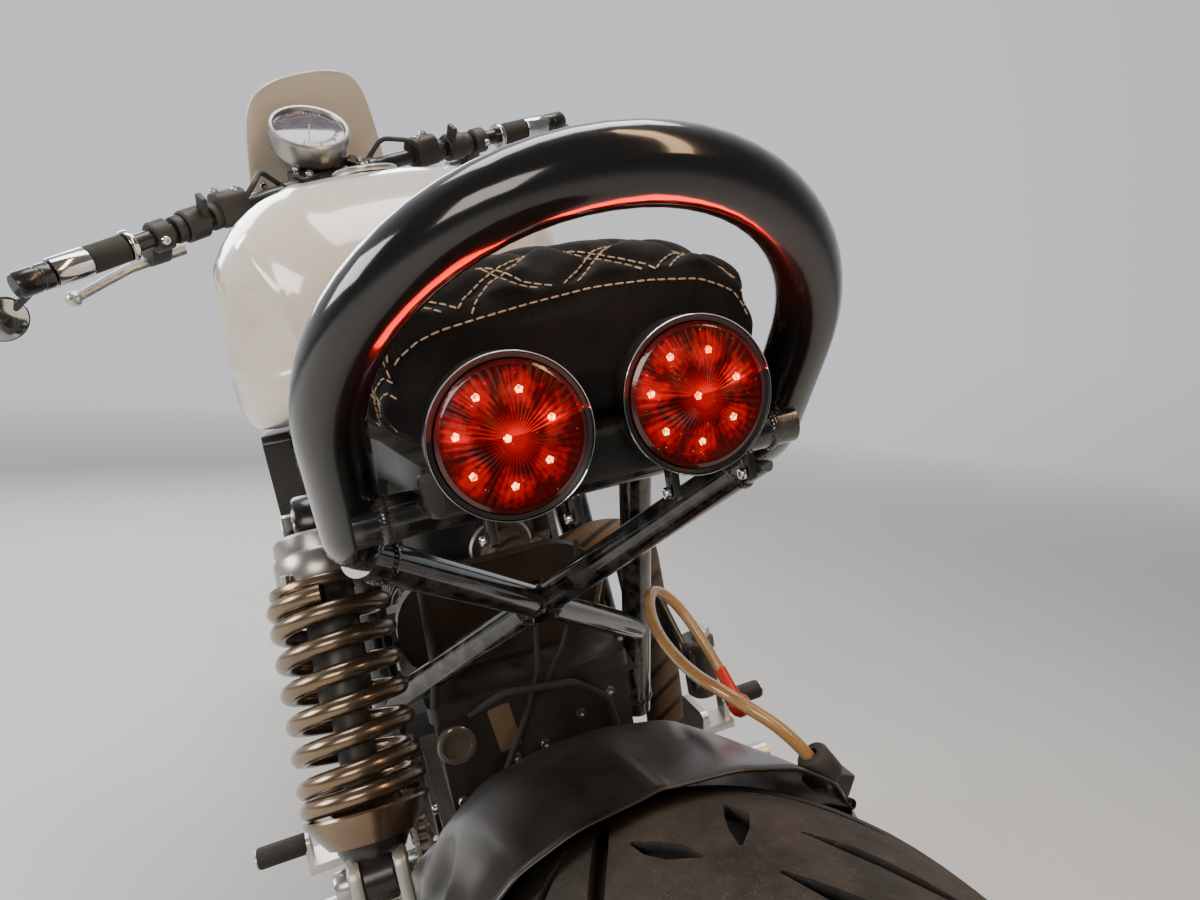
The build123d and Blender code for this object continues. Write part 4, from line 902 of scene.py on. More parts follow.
def make_lamps():
    """Two round housings with thin bright rims, domed ribbed lenses and their small lamps."""
    back = swung(-QUARTER, "Y")
    spots = [shift(LAMP_FRONT_X, side * LAMP_Y, LAMP_Z) @ back for side in (1, -1)]
    cup = turned([(0, -19), (24, -19), (31.5, -17), (33.2, -13), (33.5, -3), (33.3, -0.6), (32.6, 0.1),
                  (30.8, -0.4), (30.4, -3), (0, -3)], 72)
    rim = turned([(33.0, 0.1), (33.1, 0.7), (33.4, 0.8), (33.65, 0.3), (33.6, -0.6)], 72)
    ring = turned([(30.6, -2), (30.2, 0.6), (29.0, 1.3), (28.4, 1.5), (28.1, 0.6)], 72)
    tabs, bolts = [], []
    tab = plate(oblong(0, 8, 0, 14), 4, 2, 0.8)
    for side in (1, -1):
        for y in (-20, 16):
            tabs.append((tab, shift(103, side * LAMP_Y + y, LAMP_Z - 43) @ side_on(0)))
            bolts.append((BOLT, aimed((105, side * LAMP_Y + y + 1, LAMP_Z - 39), (0, 1, 0))
                          @ sized(0.5)))
    piece("lamp_housings", at_each(cup, spots) + tabs, "gloss_black", stands_for=("lamp_cups",))
    piece("lamp_rims", at_each(rim, spots) + bolts, "lamp_chrome")
    bm = bmesh.new()
    reaches = (LENS_R, 27.3, 25.0, 21.0, 16.0, 11.0, 7.2, 6.0, 0.0)
    bm.from_mesh(turned([(reach, 0) for reach in reaches], LENS_RIBS * 4))
    for vert in bm.verts:
        out = math.hypot(vert.co.x, vert.co.y) / LENS_R
        flute = 0.22 * math.cos(LENS_RIBS * math.atan2(vert.co.y, vert.co.x)) if 0.22 < out < 0.97 else 0.0
        vert.co.z = lens_height(vert.co.x, vert.co.y) + flute
    face_map = bm.loops.layers.uv.new("Face")
    for face in bm.faces:
        for loop in face.loops:
            loop[face_map].uv = [reach / 2 / LENS_R + 0.5 for reach in loop.vert.co[:2]]
    lens = kept(bm)
    piece("lamp_faces", at_each(lens, spots), "lamp_red", stands_for=("lamp_lenses",))
    piece("lamp_face_rings", at_each(ring, spots), "lamp_red",
          material=finish("lamp_ring", (0.05, 0.002, 0.0015), (0.10, 0.004, 0.003), (0.08, 0.16), dust=0.0,
                          mottle=60.0, Coat_Weight=0.6))
    core = turned([(1.8, 0), (1.5, 0.5), (0.8, 0.8), (0, 0.9)], 5)
    board = [(1.0, 3.3)]
    for number in range(SMALL_LAMPS):
        turn = (number + 0.5) * math.tau / SMALL_LAMPS
        board.append((1.0 + 19.2 * math.cos(turn), 3.3 + 19.2 * math.sin(turn)))
    cores = [(core, spot @ shift(x, y, lens_height(x, y) + 0.2)) for spot in spots for x, y in board]
    piece("lamp_cores", cores, "lamp_red", material=FINISHES["lamp_core"])


def lens_height(x, y):
    """Height of the domed lens over its rim."""
    return 1.3 + 5.2 * (1 - (x * x + y * y) / 801)


# Seat and tail panel

SEAT_LOOPS = [
    # x, half width, low z, high z
    (117.4, 71, 797, 842), (118.0, 78, 793, 849), (120.5, 83, 791, 854), (130.0, 87, 790, 857),
    (145.0, 91, 790, 857), (172.0, 98, 790, 857), (205.0, 104, 790, 857), (260.0, 110, 790, 857),
    (330.0, 114, 790, 856), (400.0, 116, 790, 857), (470.0, 113, 790, 862), (530.0, 107, 790, 870),
    (575.0, 99, 790, 878), (592.0, 92, 791, 886), (597.0, 84, 795, 880),
]
PILLOW_POINTS = 40
SEAT_REAR_X, SEAT_FRONT_X, SEAT_FLOOR_Z = 117.2, 598.5, 790.2
PUFF_PRESSURE, PUFF_FRAMES = 4.0, 20


def pillow_loop(x, half, low, high):
    """Rounded section of the seat on a plane of constant x, rounder further forward."""
    middle, reach = (low + high) / 2, (high - low) / 2
    forward = min(1.0, (x - 117) / 50)
    power, rise = 4.2 - forward, 5.0 + 4 * forward
    loop = []
    for step in range(PILLOW_POINTS):
        turn = math.tau * step / PILLOW_POINTS
        side, up = math.cos(turn), math.sin(turn)
        y = half * math.copysign(abs(side) ** (2 / power), side)
        crown = rise * max(0.0, up) * (1 - (y / half) ** 2)
        loop.append((x, y, middle + (reach - 3.0) * math.copysign(abs(up) ** (2 / power), up) + crown))
    return loop


def plumped(mesh, voxel, cap):
    """The padded form after a short cloth simulation under pressure, held near its start."""
    thing = added("work", mesh)
    closed = thing.modifiers.new("Skin", "REMESH")
    closed.mode = "VOXEL"
    closed.voxel_size = voxel
    skin = baked(thing)
    thing = added("work", skin)
    cloth = thing.modifiers.new("Cloth", "CLOTH")
    cloth.settings.use_pressure = True
    cloth.settings.uniform_pressure_force = PUFF_PRESSURE
    cloth.settings.effector_weights.gravity = 0.0
    cloth.settings.quality = 4
    for number in range(1, PUFF_FRAMES + 1):
        bpy.context.scene.frame_set(number)
    blown = baked(thing)
    bpy.context.scene.frame_set(1)
    for vert, new in zip(skin.vertices, blown.vertices):
        step = new.co - vert.co
        if step.length > cap:
            step *= cap / step.length
        vert.co += step
    return skin


QUILT_FROM_X, QUILT_SLOPE, QUILT_SHIFT = 119.5, 1.2, 4
STITCH_ROW_GAP, STITCH_WIDTH = 3.1, 0.6
CHANNEL_DEPTH, PUFF_HEIGHT = 2.2, 2.6
BAND = [(-79, 826), (-77, 830), (-73, 836), (-66, 840), (-57, 844), (-34, 847), (-10, 848), (19, 846),
        (56, 842), (66, 839), (74, 834), (78, 829)]


ROW_STEPS, ROW_STEP, ROW_EYE_Z = 86, 1.22, 815


class QuiltMap:
    """Reads the seat's skin by distance along it and across it."""

    def __init__(self, mesh):
        bm = opened(mesh)
        self.tree = BVHTree.FromBMesh(bm)
        bm.free()
        self.rows = {}

    def row(self, x):
        """Points across the top and sides at x, with their distance from the middle line."""
        x = round(x)
        if x not in self.rows:
            points = []
            for step in range(-ROW_STEPS, ROW_STEPS + 1):
                turn = math.radians(90 - step * ROW_STEP)
                way = Vector((0, math.cos(turn), math.sin(turn)))
                hit = self.tree.ray_cast(Vector((x, 0, ROW_EYE_Z)), way)
                if hit[0] is not None:
                    points.append((step, hit[0], hit[1]))
            spread, far = [], 0.0
            middle = next((n for n, row in enumerate(points) if row[0] == 0), len(points) // 2)
            for number in range(middle, len(points) - 1):
                spread.append((far, points[number][1], points[number][2]))
                far += (points[number + 1][1] - points[number][1]).length
            far = 0.0
            for number in range(middle, 0, -1):
                far -= (points[number - 1][1] - points[number][1]).length
                spread.insert(0, (far, points[number - 1][1], points[number - 1][2]))
            self.rows[x] = spread
        return self.rows[x]

    def point(self, x, t):
        """Point and normal at x along the seat and t across its skin."""
        row = self.row(x)
        for before, after in zip(row, row[1:]):
            if before[0] <= t <= after[0]:
                share = (t - before[0]) / max(1e-6, after[0] - before[0])
                return before[1].lerp(after[1], share), before[2].lerp(after[2], share).normalized()
        return None

    def across(self, vert):
        """Distance across the skin of a vertex."""
        row = self.row(max(QUILT_FROM_X + 2, min(590, vert.x)))
        near = min(range(len(row)), key=lambda number: (row[number][1] - vert).length_squared)
        found = []
        for before, after in zip(row[max(0, near - 1):near + 1], row[max(1, near):near + 2]):
            run = after[1] - before[1]
            share = held((vert - before[1]).dot(run) / max(1e-9, run.length_squared))
            off = (before[1] + run * share - vert).length
            found.append((off, before[0] + (after[0] - before[0]) * share))
        return min(found)[1]


def quilt_gap(x, t, pitch):
    """Distance from the nearest line of the diamond quilting."""
    gaps = []
    for way in (1, -1):
        place = ((x - QUILT_FROM_X) * QUILT_SLOPE + way * (t - QUILT_SHIFT)) / pitch
        gaps.append(abs(place - round(place)) * pitch * 0.64)
    return min(gaps)


def stitch_mesh(length, width):
    """One stitch: a short rod with drawn-in ends."""
    bm = bmesh.new()
    bmesh.ops.create_cone(bm, cap_ends=True, segments=5, radius1=width * 0.7, radius2=width * 0.7,
                          depth=length * 0.7)
    bmesh.ops.rotate(bm, matrix=Matrix.Rotation(QUARTER, 3, "Y"), verts=bm.verts)
    ends = [face for face in bm.faces if abs(face.normal.x) > 0.9]
    bmesh.ops.inset_individual(bm, faces=ends, thickness=width * 0.35, depth=length * 0.15)
    return kept(bm)


def make_seat():
    """Quilted suede seat: padded form, sewn channels, double rows of real stitches."""
    base = lofted([pillow_loop(*row) for row in SEAT_LOOPS])
    bm = opened(base)
    faced(bm)
    bmesh.ops.scale(bm, vec=(0.001, 0.001, 0.001), verts=bm.verts)
    padded = plumped(kept(bm), 0.0045, 0.005)
    bm = opened(padded)
    bmesh.ops.scale(bm, vec=(1000, 1000, 1000), verts=bm.verts)
    for vert in bm.verts:
        vert.co.z = max(SEAT_FLOOR_Z, vert.co.z)
        vert.co.x = min(SEAT_FRONT_X, max(SEAT_REAR_X, vert.co.x))
    bmesh.ops.smooth_vert(bm, verts=bm.verts, factor=0.5, use_axis_x=True, use_axis_y=True, use_axis_z=True)
    bmesh.ops.subdivide_edges(bm, edges=bm.edges, cuts=1, use_grid_fill=True)
    bm.normal_update()
    skin = bpy.data.meshes.new("skin")
    bm.to_mesh(skin)
    lines = QuiltMap(skin)
    pitch = matched("quilt_pitch") * 1000
    moves = []
    for vert in bm.verts:
        if vert.co.z < 797:
            continue
        from_seam = vert.co.x - QUILT_FROM_X
        t = lines.across(vert.co)
        if from_seam > 1 and vert.normal.x > -0.75:
            gap = quilt_gap(vert.co.x, t, pitch)
            fade = held((vert.co.z - 798) / 14) * held(from_seam / 8)
            groove = CHANNEL_DEPTH * math.exp(-(max(0.0, gap - 1.6) / 2.4) ** 2)
            puff = PUFF_HEIGHT * math.sin(min(1.0, gap / (pitch * 0.3)) * QUARTER)
            moves.append((vert, vert.normal * (puff - groove) * fade))
    for vert, move in moves:
        vert.co += move
    bmesh.ops.transform(bm, matrix=MACHINE, verts=bm.verts)
    mesh = kept(bm)
    seat = dressed(mesh, "seat_cover", "seat_suede", "chassis", ("seat",), 60)
    bm = opened(mesh)
    bmesh.ops.transform(bm, matrix=MACHINE.inverted(), verts=bm.verts)
    quilted = bpy.data.meshes.new("quilted")
    bm.to_mesh(quilted)
    bm.free()
    sewn = QuiltMap(quilted).tree

    def laid(point, up):
        """The nearest spot of the sewn cover below a point of the smooth skin."""
        hit = sewn.ray_cast(point + up * 9, -up)
        return (hit[0], hit[1]) if hit[0] is not None and hit[3] < 18 else None

    step = matched("stitch_length") * 1000
    thread = stitch_mesh(step * 0.76, STITCH_WIDTH)
    stitches = []

    def sew(route):
        """Stitches along a route of points and normals."""
        carry = 0.0
        for (here, up), (there, _) in zip(route, route[1:]):
            run = (there - here).length
            way = (there - here).normalized()
            while carry < run:
                spot = here + way * carry
                side = up.cross(way).normalized()
                turn = Matrix((way, side, way.cross(side))).transposed().to_4x4()
                stitches.append((thread, shift(spot + up * 0.35) @ turn))
                carry += step
            carry -= run

    count = int(900 / pitch)
    for way in (1, -1):
        for number in range(-count, count):
            for aside in (-STITCH_ROW_GAP, STITCH_ROW_GAP):
                route = []
                for sample in range(0, 236):
                    x = QUILT_FROM_X + 1.8 + sample * 2
                    t = QUILT_SHIFT + way * (number * pitch + aside - (x - QUILT_FROM_X) * QUILT_SLOPE)
                    found = lines.point(x, t) if abs(t) < 160 else None
                    on_top = found and found[0].z > 806 and found[1].x > -0.85
                    found = laid(*found) if on_top else None
                    if found:
                        route.append(found)
                    elif route:
                        sew(route)
                        route = []
                sew(route)
    band = []
    for (y1, z1), (y2, z2) in zip(BAND, BAND[1:]):
        for sample in range(8):
            y, z = y1 + (y2 - y1) * sample / 8, z1 + (z2 - z1) * sample / 8
            hit = sewn.ray_cast(Vector((60, y, z)), Vector((1, 0, 0)))
            if hit[0] is not None:
                band.append((hit[0], hit[1]))
    for turn in range(3):
        for number in range(1, len(band) - 1):
            middle = (band[number - 1][0] + band[number][0] * 2 + band[number + 1][0]) / 4
            band[number] = (middle, band[number][1])
    sew(band)
    piece("seat_stitches", stitches, "seat_suede", material=FINISHES["stitch_thread"], smooth=60)


def make_tail_panel():
    """Black tray below the seat, closed behind the lamps."""
    plan = [(119, -74), (230, -84), (260, -100), (585, -92), (585, 92), (260, 100), (230, 84), (119, 74)]
    tray = plate(plan, 22.4, 6, 1.6)
    back = plate([(-74, 0), (74, 0), (78, 20), (-78, 20)], 6, 5, 1.5)
    flat = shift(119, 0, 768) @ swung(QUARTER, "Z") @ swung(QUARTER, "X")
    piece("tail_tray", [(tray, shift(0, 0, 767.3)), (back, flat)], "black_plastic",
          stands_for=("tail_panel",))


# Tank

TANK_HALF = [(0, 1.0), (0.16, 1.0), (0.32, 0.993), (0.475, 0.975), (0.6, 0.945), (0.69, 0.91), (0.775, 0.865),
             (0.84, 0.815), (0.9, 0.76), (0.95, 0.70), (0.98, 0.63), (0.995, 0.52), (1.0, 0.40), (1.0, 0.28),
             (0.995, 0.16), (0.98, 0.08), (0.94, 0.02), (0.88, 0.0), (0.74, 0.0), (0.35, 0.01), (0, 0.01)]
TANK_STATIONS = [
    # x, half width, low z, high z
    (600, 64, 806, 892), (604, 84, 796, 908), (620, 112, 786, 926), (650, 145, 768, 952),
    (690, 171, 754, 976), (740, 187, 747, 992), (790, 192, 743, 1001), (845, 192, 741, 1003),
    (900, 186, 740, 999), (950, 166, 746, 988), (985, 145, 755, 974), (1006, 124, 767, 957),
    (1012, 96, 790, 938),
]
TANK_RIDGES = [
    # points on the left side; width, height
    ([(690, 144, 936), (671, 135, 920), (635, 121, 882), (619, 117, 838)], 7.0, 3.6),
    ([(780, 84, 994), (682, 83, 964), (604, 56, 884)], 10.0, 2.6),
    ([(726, 184, 808), (668, 162, 801), (622, 116, 806)], 5.5, 2.6),
]


def off_line(point, line):
    """Distance of a point from a line of straight runs."""
    best = 1e9
    for start, end in zip(line, line[1:]):
        run = Vector(end) - Vector(start)
        share = held((point - Vector(start)).dot(run) / run.length_squared)
        best = min(best, (Vector(start) + run * share - point).length)
    return best


def make_tank():
    """Painted tank with knee dents and pressed ridges, and its filler cap."""
    loops = []
    for x, half, low, high in TANK_STATIONS:
        left = [(x, half * out, low + (high - low) * up) for out, up in TANK_HALF]
        loops.append(left + [(x, -y, z) for x, y, z in reversed(left[1:-1])])
    bm = opened(softened(lofted(loops), 3))
    faced(bm)
    bm.normal_update()
    for vert in bm.verts:
        mirrored = Vector((vert.co.x, abs(vert.co.y), vert.co.z))
        lift = -11.0 * math.exp(-((mirrored - Vector((655, 150, 862))).length / 36) ** 2)
        for line, width, height in TANK_RIDGES:
            lift += height * math.exp(-(off_line(mirrored, line) / width) ** 2)
        vert.co += vert.normal * lift
    piece("tank_shell", [(kept(bm), HERE)], "cream_paint", stands_for=("fuel_tank",), smooth=180)
    cap = turned([(0, 4), (36, 4), (37, 6), (37, 9), (34.5, 11), (31, 11.6), (29.5, 10.6), (12, 11.4),
                  (10.5, 13.6), (6, 14), (0, 14)], 48)
    latch = plate([(-20, -4), (20, -3), (20, 3), (-20, 4)], 4, 2, 0.8)
    spot = shift(830, 0, 998)
    shapes = [(cap, spot), (latch, spot @ shift(0, 0, 12))]
    shapes += ring_of(BOLT, 6, 33, spot @ shift(0, 0, 8) @ sized(0.5))
    piece("filler_cap", shapes, "cap_alloy", stands_for=("fuel_cap",))


# Shock and swing arm

SHOCK_EYE, SHOCK_TOP = Vector((248, 134, 540)), Vector((340, 126, 730))


def make_shock():
    """Coil-over shock: closed-ended spring, bronze cup, damper, eye and clevis."""
    axis = aimed(SHOCK_EYE, SHOCK_TOP - SHOCK_EYE)
    wire = matched("wire_diameter") * 500
    mid = 37.0 - wire
    bm = bmesh.new()
    loop = bmesh.ops.create_circle(bm, cap_ends=True, segments=20, radius=wire,
                                   matrix=shift(mid, 0, 0) @ swung(QUARTER, "X"))
    ring = loop["verts"]
    geometry = ring + list({edge for vert in ring for edge in vert.link_edges})
    for turns, rise in ((1.0, 11.3), (5.25, 18.2), (1.0, 11.3)):
        steps = int(turns * 40)
        spun = bmesh.ops.spin(bm, geom=geometry, cent=(0, 0, 0), axis=(0, 0, 1),
                              dvec=(0, 0, rise / 40), angle=math.tau * turns, steps=steps)
        geometry = spun["geom_last"]
    bmesh.ops.edgeloop_fill(bm, edges=edges_of(geometry))
    coil = kept(bm)
    piece("coil_spring", [(coil, axis @ shift(0, 0, 37 + wire + 0.4))], "spring_bronze",
          stands_for=("shock_spring",), smooth=70)
    cup = turned([(15, 20), (22, 18.5), (25, 19), (35, 33), (36.5, 36), (36, 37.4), (22, 37.4), (19, 41)], 64)
    ring_nut = turned([(17, 166), (33, 166), (34, 167), (34, 170), (33, 171.5), (17, 171.5)], 64)
    piece("spring_cups", [(cup, axis), (ring_nut, axis)], "spring_bronze")
    damper = turned([(0, 48), (11, 48), (11, 100), (15.6, 101), (16, 103), (16, 196), (14, 199),
                     (0, 199)], 48)
    collar = turned([(15, 171.6), (27.5, 171.6), (28.5, 173), (28.5, 187), (26.5, 190), (27, 193), (27, 199),
                     (25, 201), (15, 201)], 48)
    top_eye = turned(mirrored([(6.2, 11), (16.5, 11), (18, 9)]), 40)
    lugs = ring_of(turned([(0, 170), (3.4, 170), (3.4, 176), (2.4, 177), (0, 177)], 12), 3, 31, axis, 0.9)
    piece("damper", [(damper, axis)], "caliper_black", stands_for=("shock_body",))
    piece("damper_collar", [(collar, axis)] + lugs, "gauge_metal")
    rubber = turned([(0, 8), (13, 8), (18, 11), (20.5, 16), (20.5, 22), (17, 24.5), (12, 26), (0, 27)], 48)
    eye = turned(mirrored([(6.2, 10), (14, 10), (16, 8)]), 40)
    eye_at = across(SHOCK_EYE.x, SHOCK_EYE.z, SHOCK_EYE.y)
    top_at = across(SHOCK_TOP.x, SHOCK_TOP.z, SHOCK_TOP.y)
    piece("shock_eyes", [(rubber, axis), (eye, eye_at), (top_eye, top_at)], "gloss_black")
    bolt_shapes = [(BOLT, aimed((SHOCK_EYE.x, 150, SHOCK_EYE.z), (0, 1, 0)) @ sized(1.7)),
                   (WASHER, aimed((SHOCK_TOP.x, 137, SHOCK_TOP.z), (0, 1, 0))),
                   (HEX_NUT, aimed((SHOCK_TOP.x, 138.4, SHOCK_TOP.z), (0, 1, 0)))]
    for eye, start, end in ((SHOCK_TOP, 104, 139), (SHOCK_EYE, 124, 151)):
        bolt_shapes.append((pipe([(eye.x, start, eye.z), (eye.x, end, eye.z)], (), 6), HERE))
    piece("shock_bolts", bolt_shapes, "steel")


def boxed(stations, inner, outer):
    """Side beam with rounded corners through (x, low z, high z) stations."""
    loops = []
    for x, low, high in stations:
        r = min((high - low) * 0.34, (outer - inner) * 0.36)
        loop = [(outer, low + r), (outer, high - r), (outer - r * 0.3, high - r * 0.3), (outer - r, high),
                (inner + r, high), (inner + r * 0.3, high - r * 0.3), (inner, high - r), (inner, low + r),
                (inner + r * 0.3, low + r * 0.3), (inner + r, low), (outer - r, low),
                (outer - r * 0.3, low + r * 0.3)]
        loops.append([(x, y, z) for y, z in loop])
    return lofted(loops)


ARM_STATIONS = [(-46, 303, 331), (-30, 299, 337), (10, 299, 344), (60, 301, 352), (150, 312, 375),
                (250, 325, 398), (340, 338, 409), (400, 344, 414), (450, 349, 415), (490, 360, 409),
                (503, 372, 398)]


def make_swing_arm():
    """Two curved beams, cross tube, shock lug and chain adjusters."""
    shapes = both([(boxed(ARM_STATIONS, 122, 150), HERE)])
    shapes.append((pipe([(371, -124, 368), (371, 124, 368)], (), 21, 36), HERE))
    for foot in ((112, 136, 352), (372, 136, 402)):
        shapes.append((pipe([foot, (SHOCK_EYE.x, 136, 516)], (), 11), HERE))
        shapes += weld((foot[0], 136, foot[2] + 6), (0, 0, 1), 11, 24, 2.2)
    ear = plate([(224, 504), (272, 504), (262, 556), (234, 556)], 7.0, 7, 1.2)
    shapes += [(ear, side_on(150)), (ear, side_on(124.6))]
    web = plate([(226, 500), (270, 500), (268, 518), (228, 518)], 26, 4, 1.5)
    shapes.append((web, side_on(149)))
    piece("swing_arm_beams", shapes, "arm_silver", stands_for=("swing_arm",))
    slot_plate = plate([(-42, 302), (40, 306), (40, 332), (-42, 330)], 4, 6, 0.8)
    parts = both([(slot_plate, side_on(154.2)),
                  (HEX_NUT, aimed((0, 160, REAR_TYRE_R), (0, 1, 0)) @ sized(2.1)),
                  (pipe([(-58, 136, 317), (-38, 136, 317)], (), 4, 16), HERE),
                  (HEX_NUT, aimed((-52, 136, 317), (-1, 0, 0)) @ sized(0.9))])
    piece("chain_adjusters", parts, "steel")


# Wheels

GROOVES = [
    # centre line as (angle along, distance across), widths; one pitch of the tread
    ([(0.0, -14), (3.5, -24), (7.5, -40), (11, -56), (15, -70), (19.5, -84)], [2, 8, 9, 8.5, 7, 2.5]),
    ([(21.2, -37), (24.5, -49), (28.5, -63), (33, -80)], [1.5, 8, 8, 2]),
    ([(13.5, -22.5), (16.5, -21), (19, -15.5), (21.4, -9.8)], [1.5, 11, 8.5, 1.5]),
    ([(0.2, 15), (6, 25.5), (12.5, 37.5), (18, 49), (23, 62), (26, 74)], [2, 8, 9, 8.5, 7, 2.5]),
    ([(6.0, 46), (8.5, 58), (11.5, 71), (13.5, 82)], [2, 7.5, 7.5, 2]),
    ([(13.8, 24), (16.5, 19), (18.8, 13), (21.0, 6)], [1.5, 9.5, 11, 1.5]),
]
PITCHES, TREAD_PHASE = 14, 7.4
DRAWN_HALF, TREAD_BLOCK = 98.5, 9
# radius, width, crown radius, rim width
REAR_TYRE = (REAR_TYRE_R, 180.0, 135.0, 140.0)
FRONT_TYRE = (FRONT_TYRE_R, 120.0, 66.0, 89.0)
# half width over the hub, hub radius, hub width, axle radius
REAR_RIM = (111.0, 50, 200, 12.7)
FRONT_RIM = (76.0, 42, 132, 12.7)
# radius, distance from the middle, thickness, sides
REAR_DISC = (122.5, 103.0, 5.0, (-1,))
FRONT_DISCS = (155.0, 69.0, 5.0, (1, -1))


def groove_prism(line, widths, scale_s, scale_t, step, depth):
    """Upright prism of one tread groove, drawn flat."""
    spots = [Vector((angle * scale_s + step, t * scale_t)) for angle, t in line]
    left, right = [], []
    for number, (spot, width) in enumerate(zip(spots, widths)):
        before, after = spots[max(0, number - 1)], spots[min(len(spots) - 1, number + 1)]
        way = (after - before).normalized()
        side = Vector((-way.y, way.x)) * width / 2
        left.append(spot + side)
        right.append(spot - side)
    outline = [tuple(spot) for spot in left + right[::-1]]
    prism = plate(outline, depth + 3, 0.0, 0.0)
    prism.transform(shift(0, 0, -depth))
    return prism


def carved(block, cutter):
    """A block with a cutter taken away."""
    things = [added("work", mesh) for mesh in (block, cutter)]
    cut = things[0].modifiers.new("Cut", "BOOLEAN")
    cut.object = things[1]
    cut.solver = "EXACT"
    return baked(*things)


def tread(radius, width, crown, depth):
    """Carved tread band of a whole tyre, wrapped round its crown."""
    half = crown * math.asin(width / 2 / crown)
    long = math.tau * radius / PITCHES
    per_degree = long / (360 / PITCHES)
    bm = bmesh.new()
    for line, widths in GROOVES:
        for step in (-long, 0, long):
            bm.from_mesh(groove_prism(line, widths, per_degree, half / DRAWN_HALF, step, depth))
    cutter = kept(bm)
    bm = bmesh.new()
    bmesh.ops.create_cube(bm, size=1)
    bmesh.ops.scale(bm, vec=(long, 2 * half, TREAD_BLOCK), verts=bm.verts)
    bmesh.ops.translate(bm, vec=(long / 2, 0, -TREAD_BLOCK / 2), verts=bm.verts)
    flat = carved(kept(bm), cutter)
    bm = opened(flat)
    for count, axis, start, reach in ((18, 0, 0, long), (26, 1, -half, 2 * half)):
        for step in range(1, count):
            at, normal = [0, 0, 0], [0, 0, 0]
            at[axis], normal[axis] = start + reach * step / count, 1
            bmesh.ops.bisect_plane(bm, geom=bm.verts[:] + bm.edges[:] + bm.faces[:], dist=0.0001,
                                   plane_co=at, plane_no=normal)
    hidden = []
    for face in bm.faces:
        points = [vert.co for vert in face.verts]
        under = all(p.z < 0.1 - TREAD_BLOCK for p in points)
        start, end = all(p.x < 0.001 for p in points), all(p.x > long - 0.001 for p in points)
        if under or start or end or all(abs(p.y) > half - 0.001 for p in points):
            hidden.append(face)
    bmesh.ops.delete(bm, geom=hidden, context="FACES")
    sunk = bm.verts.layers.float.new("Groove")
    for vert in bm.verts:
        s, t, up = vert.co
        vert[sunk] = held(-up / depth)
        around, over = s / radius, t / crown
        out = radius - crown + (crown + up) * math.cos(over)
        vert.co = (out * math.cos(around), (crown + up) * math.sin(over), out * math.sin(around))
    one = kept(bm)
    bm = bmesh.new()
    for step in range(PITCHES):
        copy = one.copy()
        copy.transform(swung(-math.tau * step / PITCHES, "Y"))
        bm.from_mesh(copy)
    bmesh.ops.remove_doubles(bm, verts=bm.verts, dist=0.01)
    return kept(bm)


def tyre_walls(radius, width, crown, bead):
    """Both sidewalls with a rim protector and fine rings, spun round the axle."""
    half = width / 2
    shoulder = radius - (crown - math.sqrt(crown ** 2 - half ** 2))
    side = [(shoulder + 0.3, half - 0.2), (shoulder - 8, half + 0.2), (shoulder - 9, half - 0.6),
            (shoulder - 20, half - 0.4), (shoulder - 27, half - 1.8), (246, (half + bead / 2 + 7) / 2 + 3),
            (243.5, bead / 2 + 9.5), (240, bead / 2 + 9.5), (238, bead / 2 + 7.5), (234, bead / 2 + 7),
            (233, bead / 2 + 1)]
    wall = turned(side, 96)
    return [(wall, swung(-QUARTER, "X")), (wall, swung(QUARTER, "X"))]


def cast_rim(bead, hub_half, hub_r, hub_w, axle_r):
    """Barrel, pairs of tapering spokes and hub of one cast wheel."""
    out, flange = bead / 2, bead / 2 + 6.8
    wall = mirrored([(205, flange - 3), (208, flange), (229, flange), (232, flange - 2), (232, out + 1),
                     (221.5, out), (214, out - 18)])
    barrel = turned(wall + [(205, out * 0.3), (203, 8), (203, -8), (205, -out * 0.3), wall[0]], 120)
    wall = mirrored([(axle_r + 0.2, hub_half), (32, hub_half), (34, hub_half - 2), (34, hub_w / 2 + 1),
                     (hub_r, hub_w / 2), (hub_r + 2, hub_w / 2 - 4), (hub_r - 8, hub_w / 4)])
    hub = turned(wall + wall[:1], 64)
    spoke_loops = []
    for reach, wide, thick in ((hub_r - 10, 15, 21), (hub_r + 20, 11, 18), (120, 8.5, 14), (165, 8, 13),
                               (190, 10, 15), (205.5, 15, 19)):
        loop = []
        for step in range(12):
            turn = math.tau * (step + 0.5) / 12
            loop.append((reach, wide * math.copysign(abs(math.cos(turn)) ** 0.6, math.cos(turn)),
                         thick * math.copysign(abs(math.sin(turn)) ** 0.6, math.sin(turn))))
        spoke_loops.append(loop)
    spoke = lofted(spoke_loops)
    shapes = [(barrel, HERE), (hub, HERE)]
    for pair in range(5):
        for side in (-14, 14):
            shapes.append((spoke, swung(math.radians(pair * 72 + side), "Z")))
    return [(mesh, swung(QUARTER, "X") @ at) for mesh, at in shapes]


def drilled_disc(radius, inner, thick):
    """Brake disc with rings of holes, to sit on a bolted carrier made in make_wheel."""
    solid = turned([(inner, 0), (radius, 0), (radius, thick), (inner, thick), (inner, 0)], 120)
    drill = turned([(0, -1), (3.2, -1), (3.2, thick + 1), (0, thick + 1)], 12)
    bm = bmesh.new()
    for ring, count in enumerate((20, 20, 20)):
        reach = inner + (radius - inner) * (ring + 0.75) / 3.3
        for mesh, at in ring_of(drill, count, reach, HERE, ring * math.pi / 30):
            copy = mesh.copy()
            copy.transform(at)
            bm.from_mesh(copy)
    faced(bm)
    cutter = kept(bm)
    bm = opened(solid)
    faced(bm)
    return carved(kept(bm), cutter)


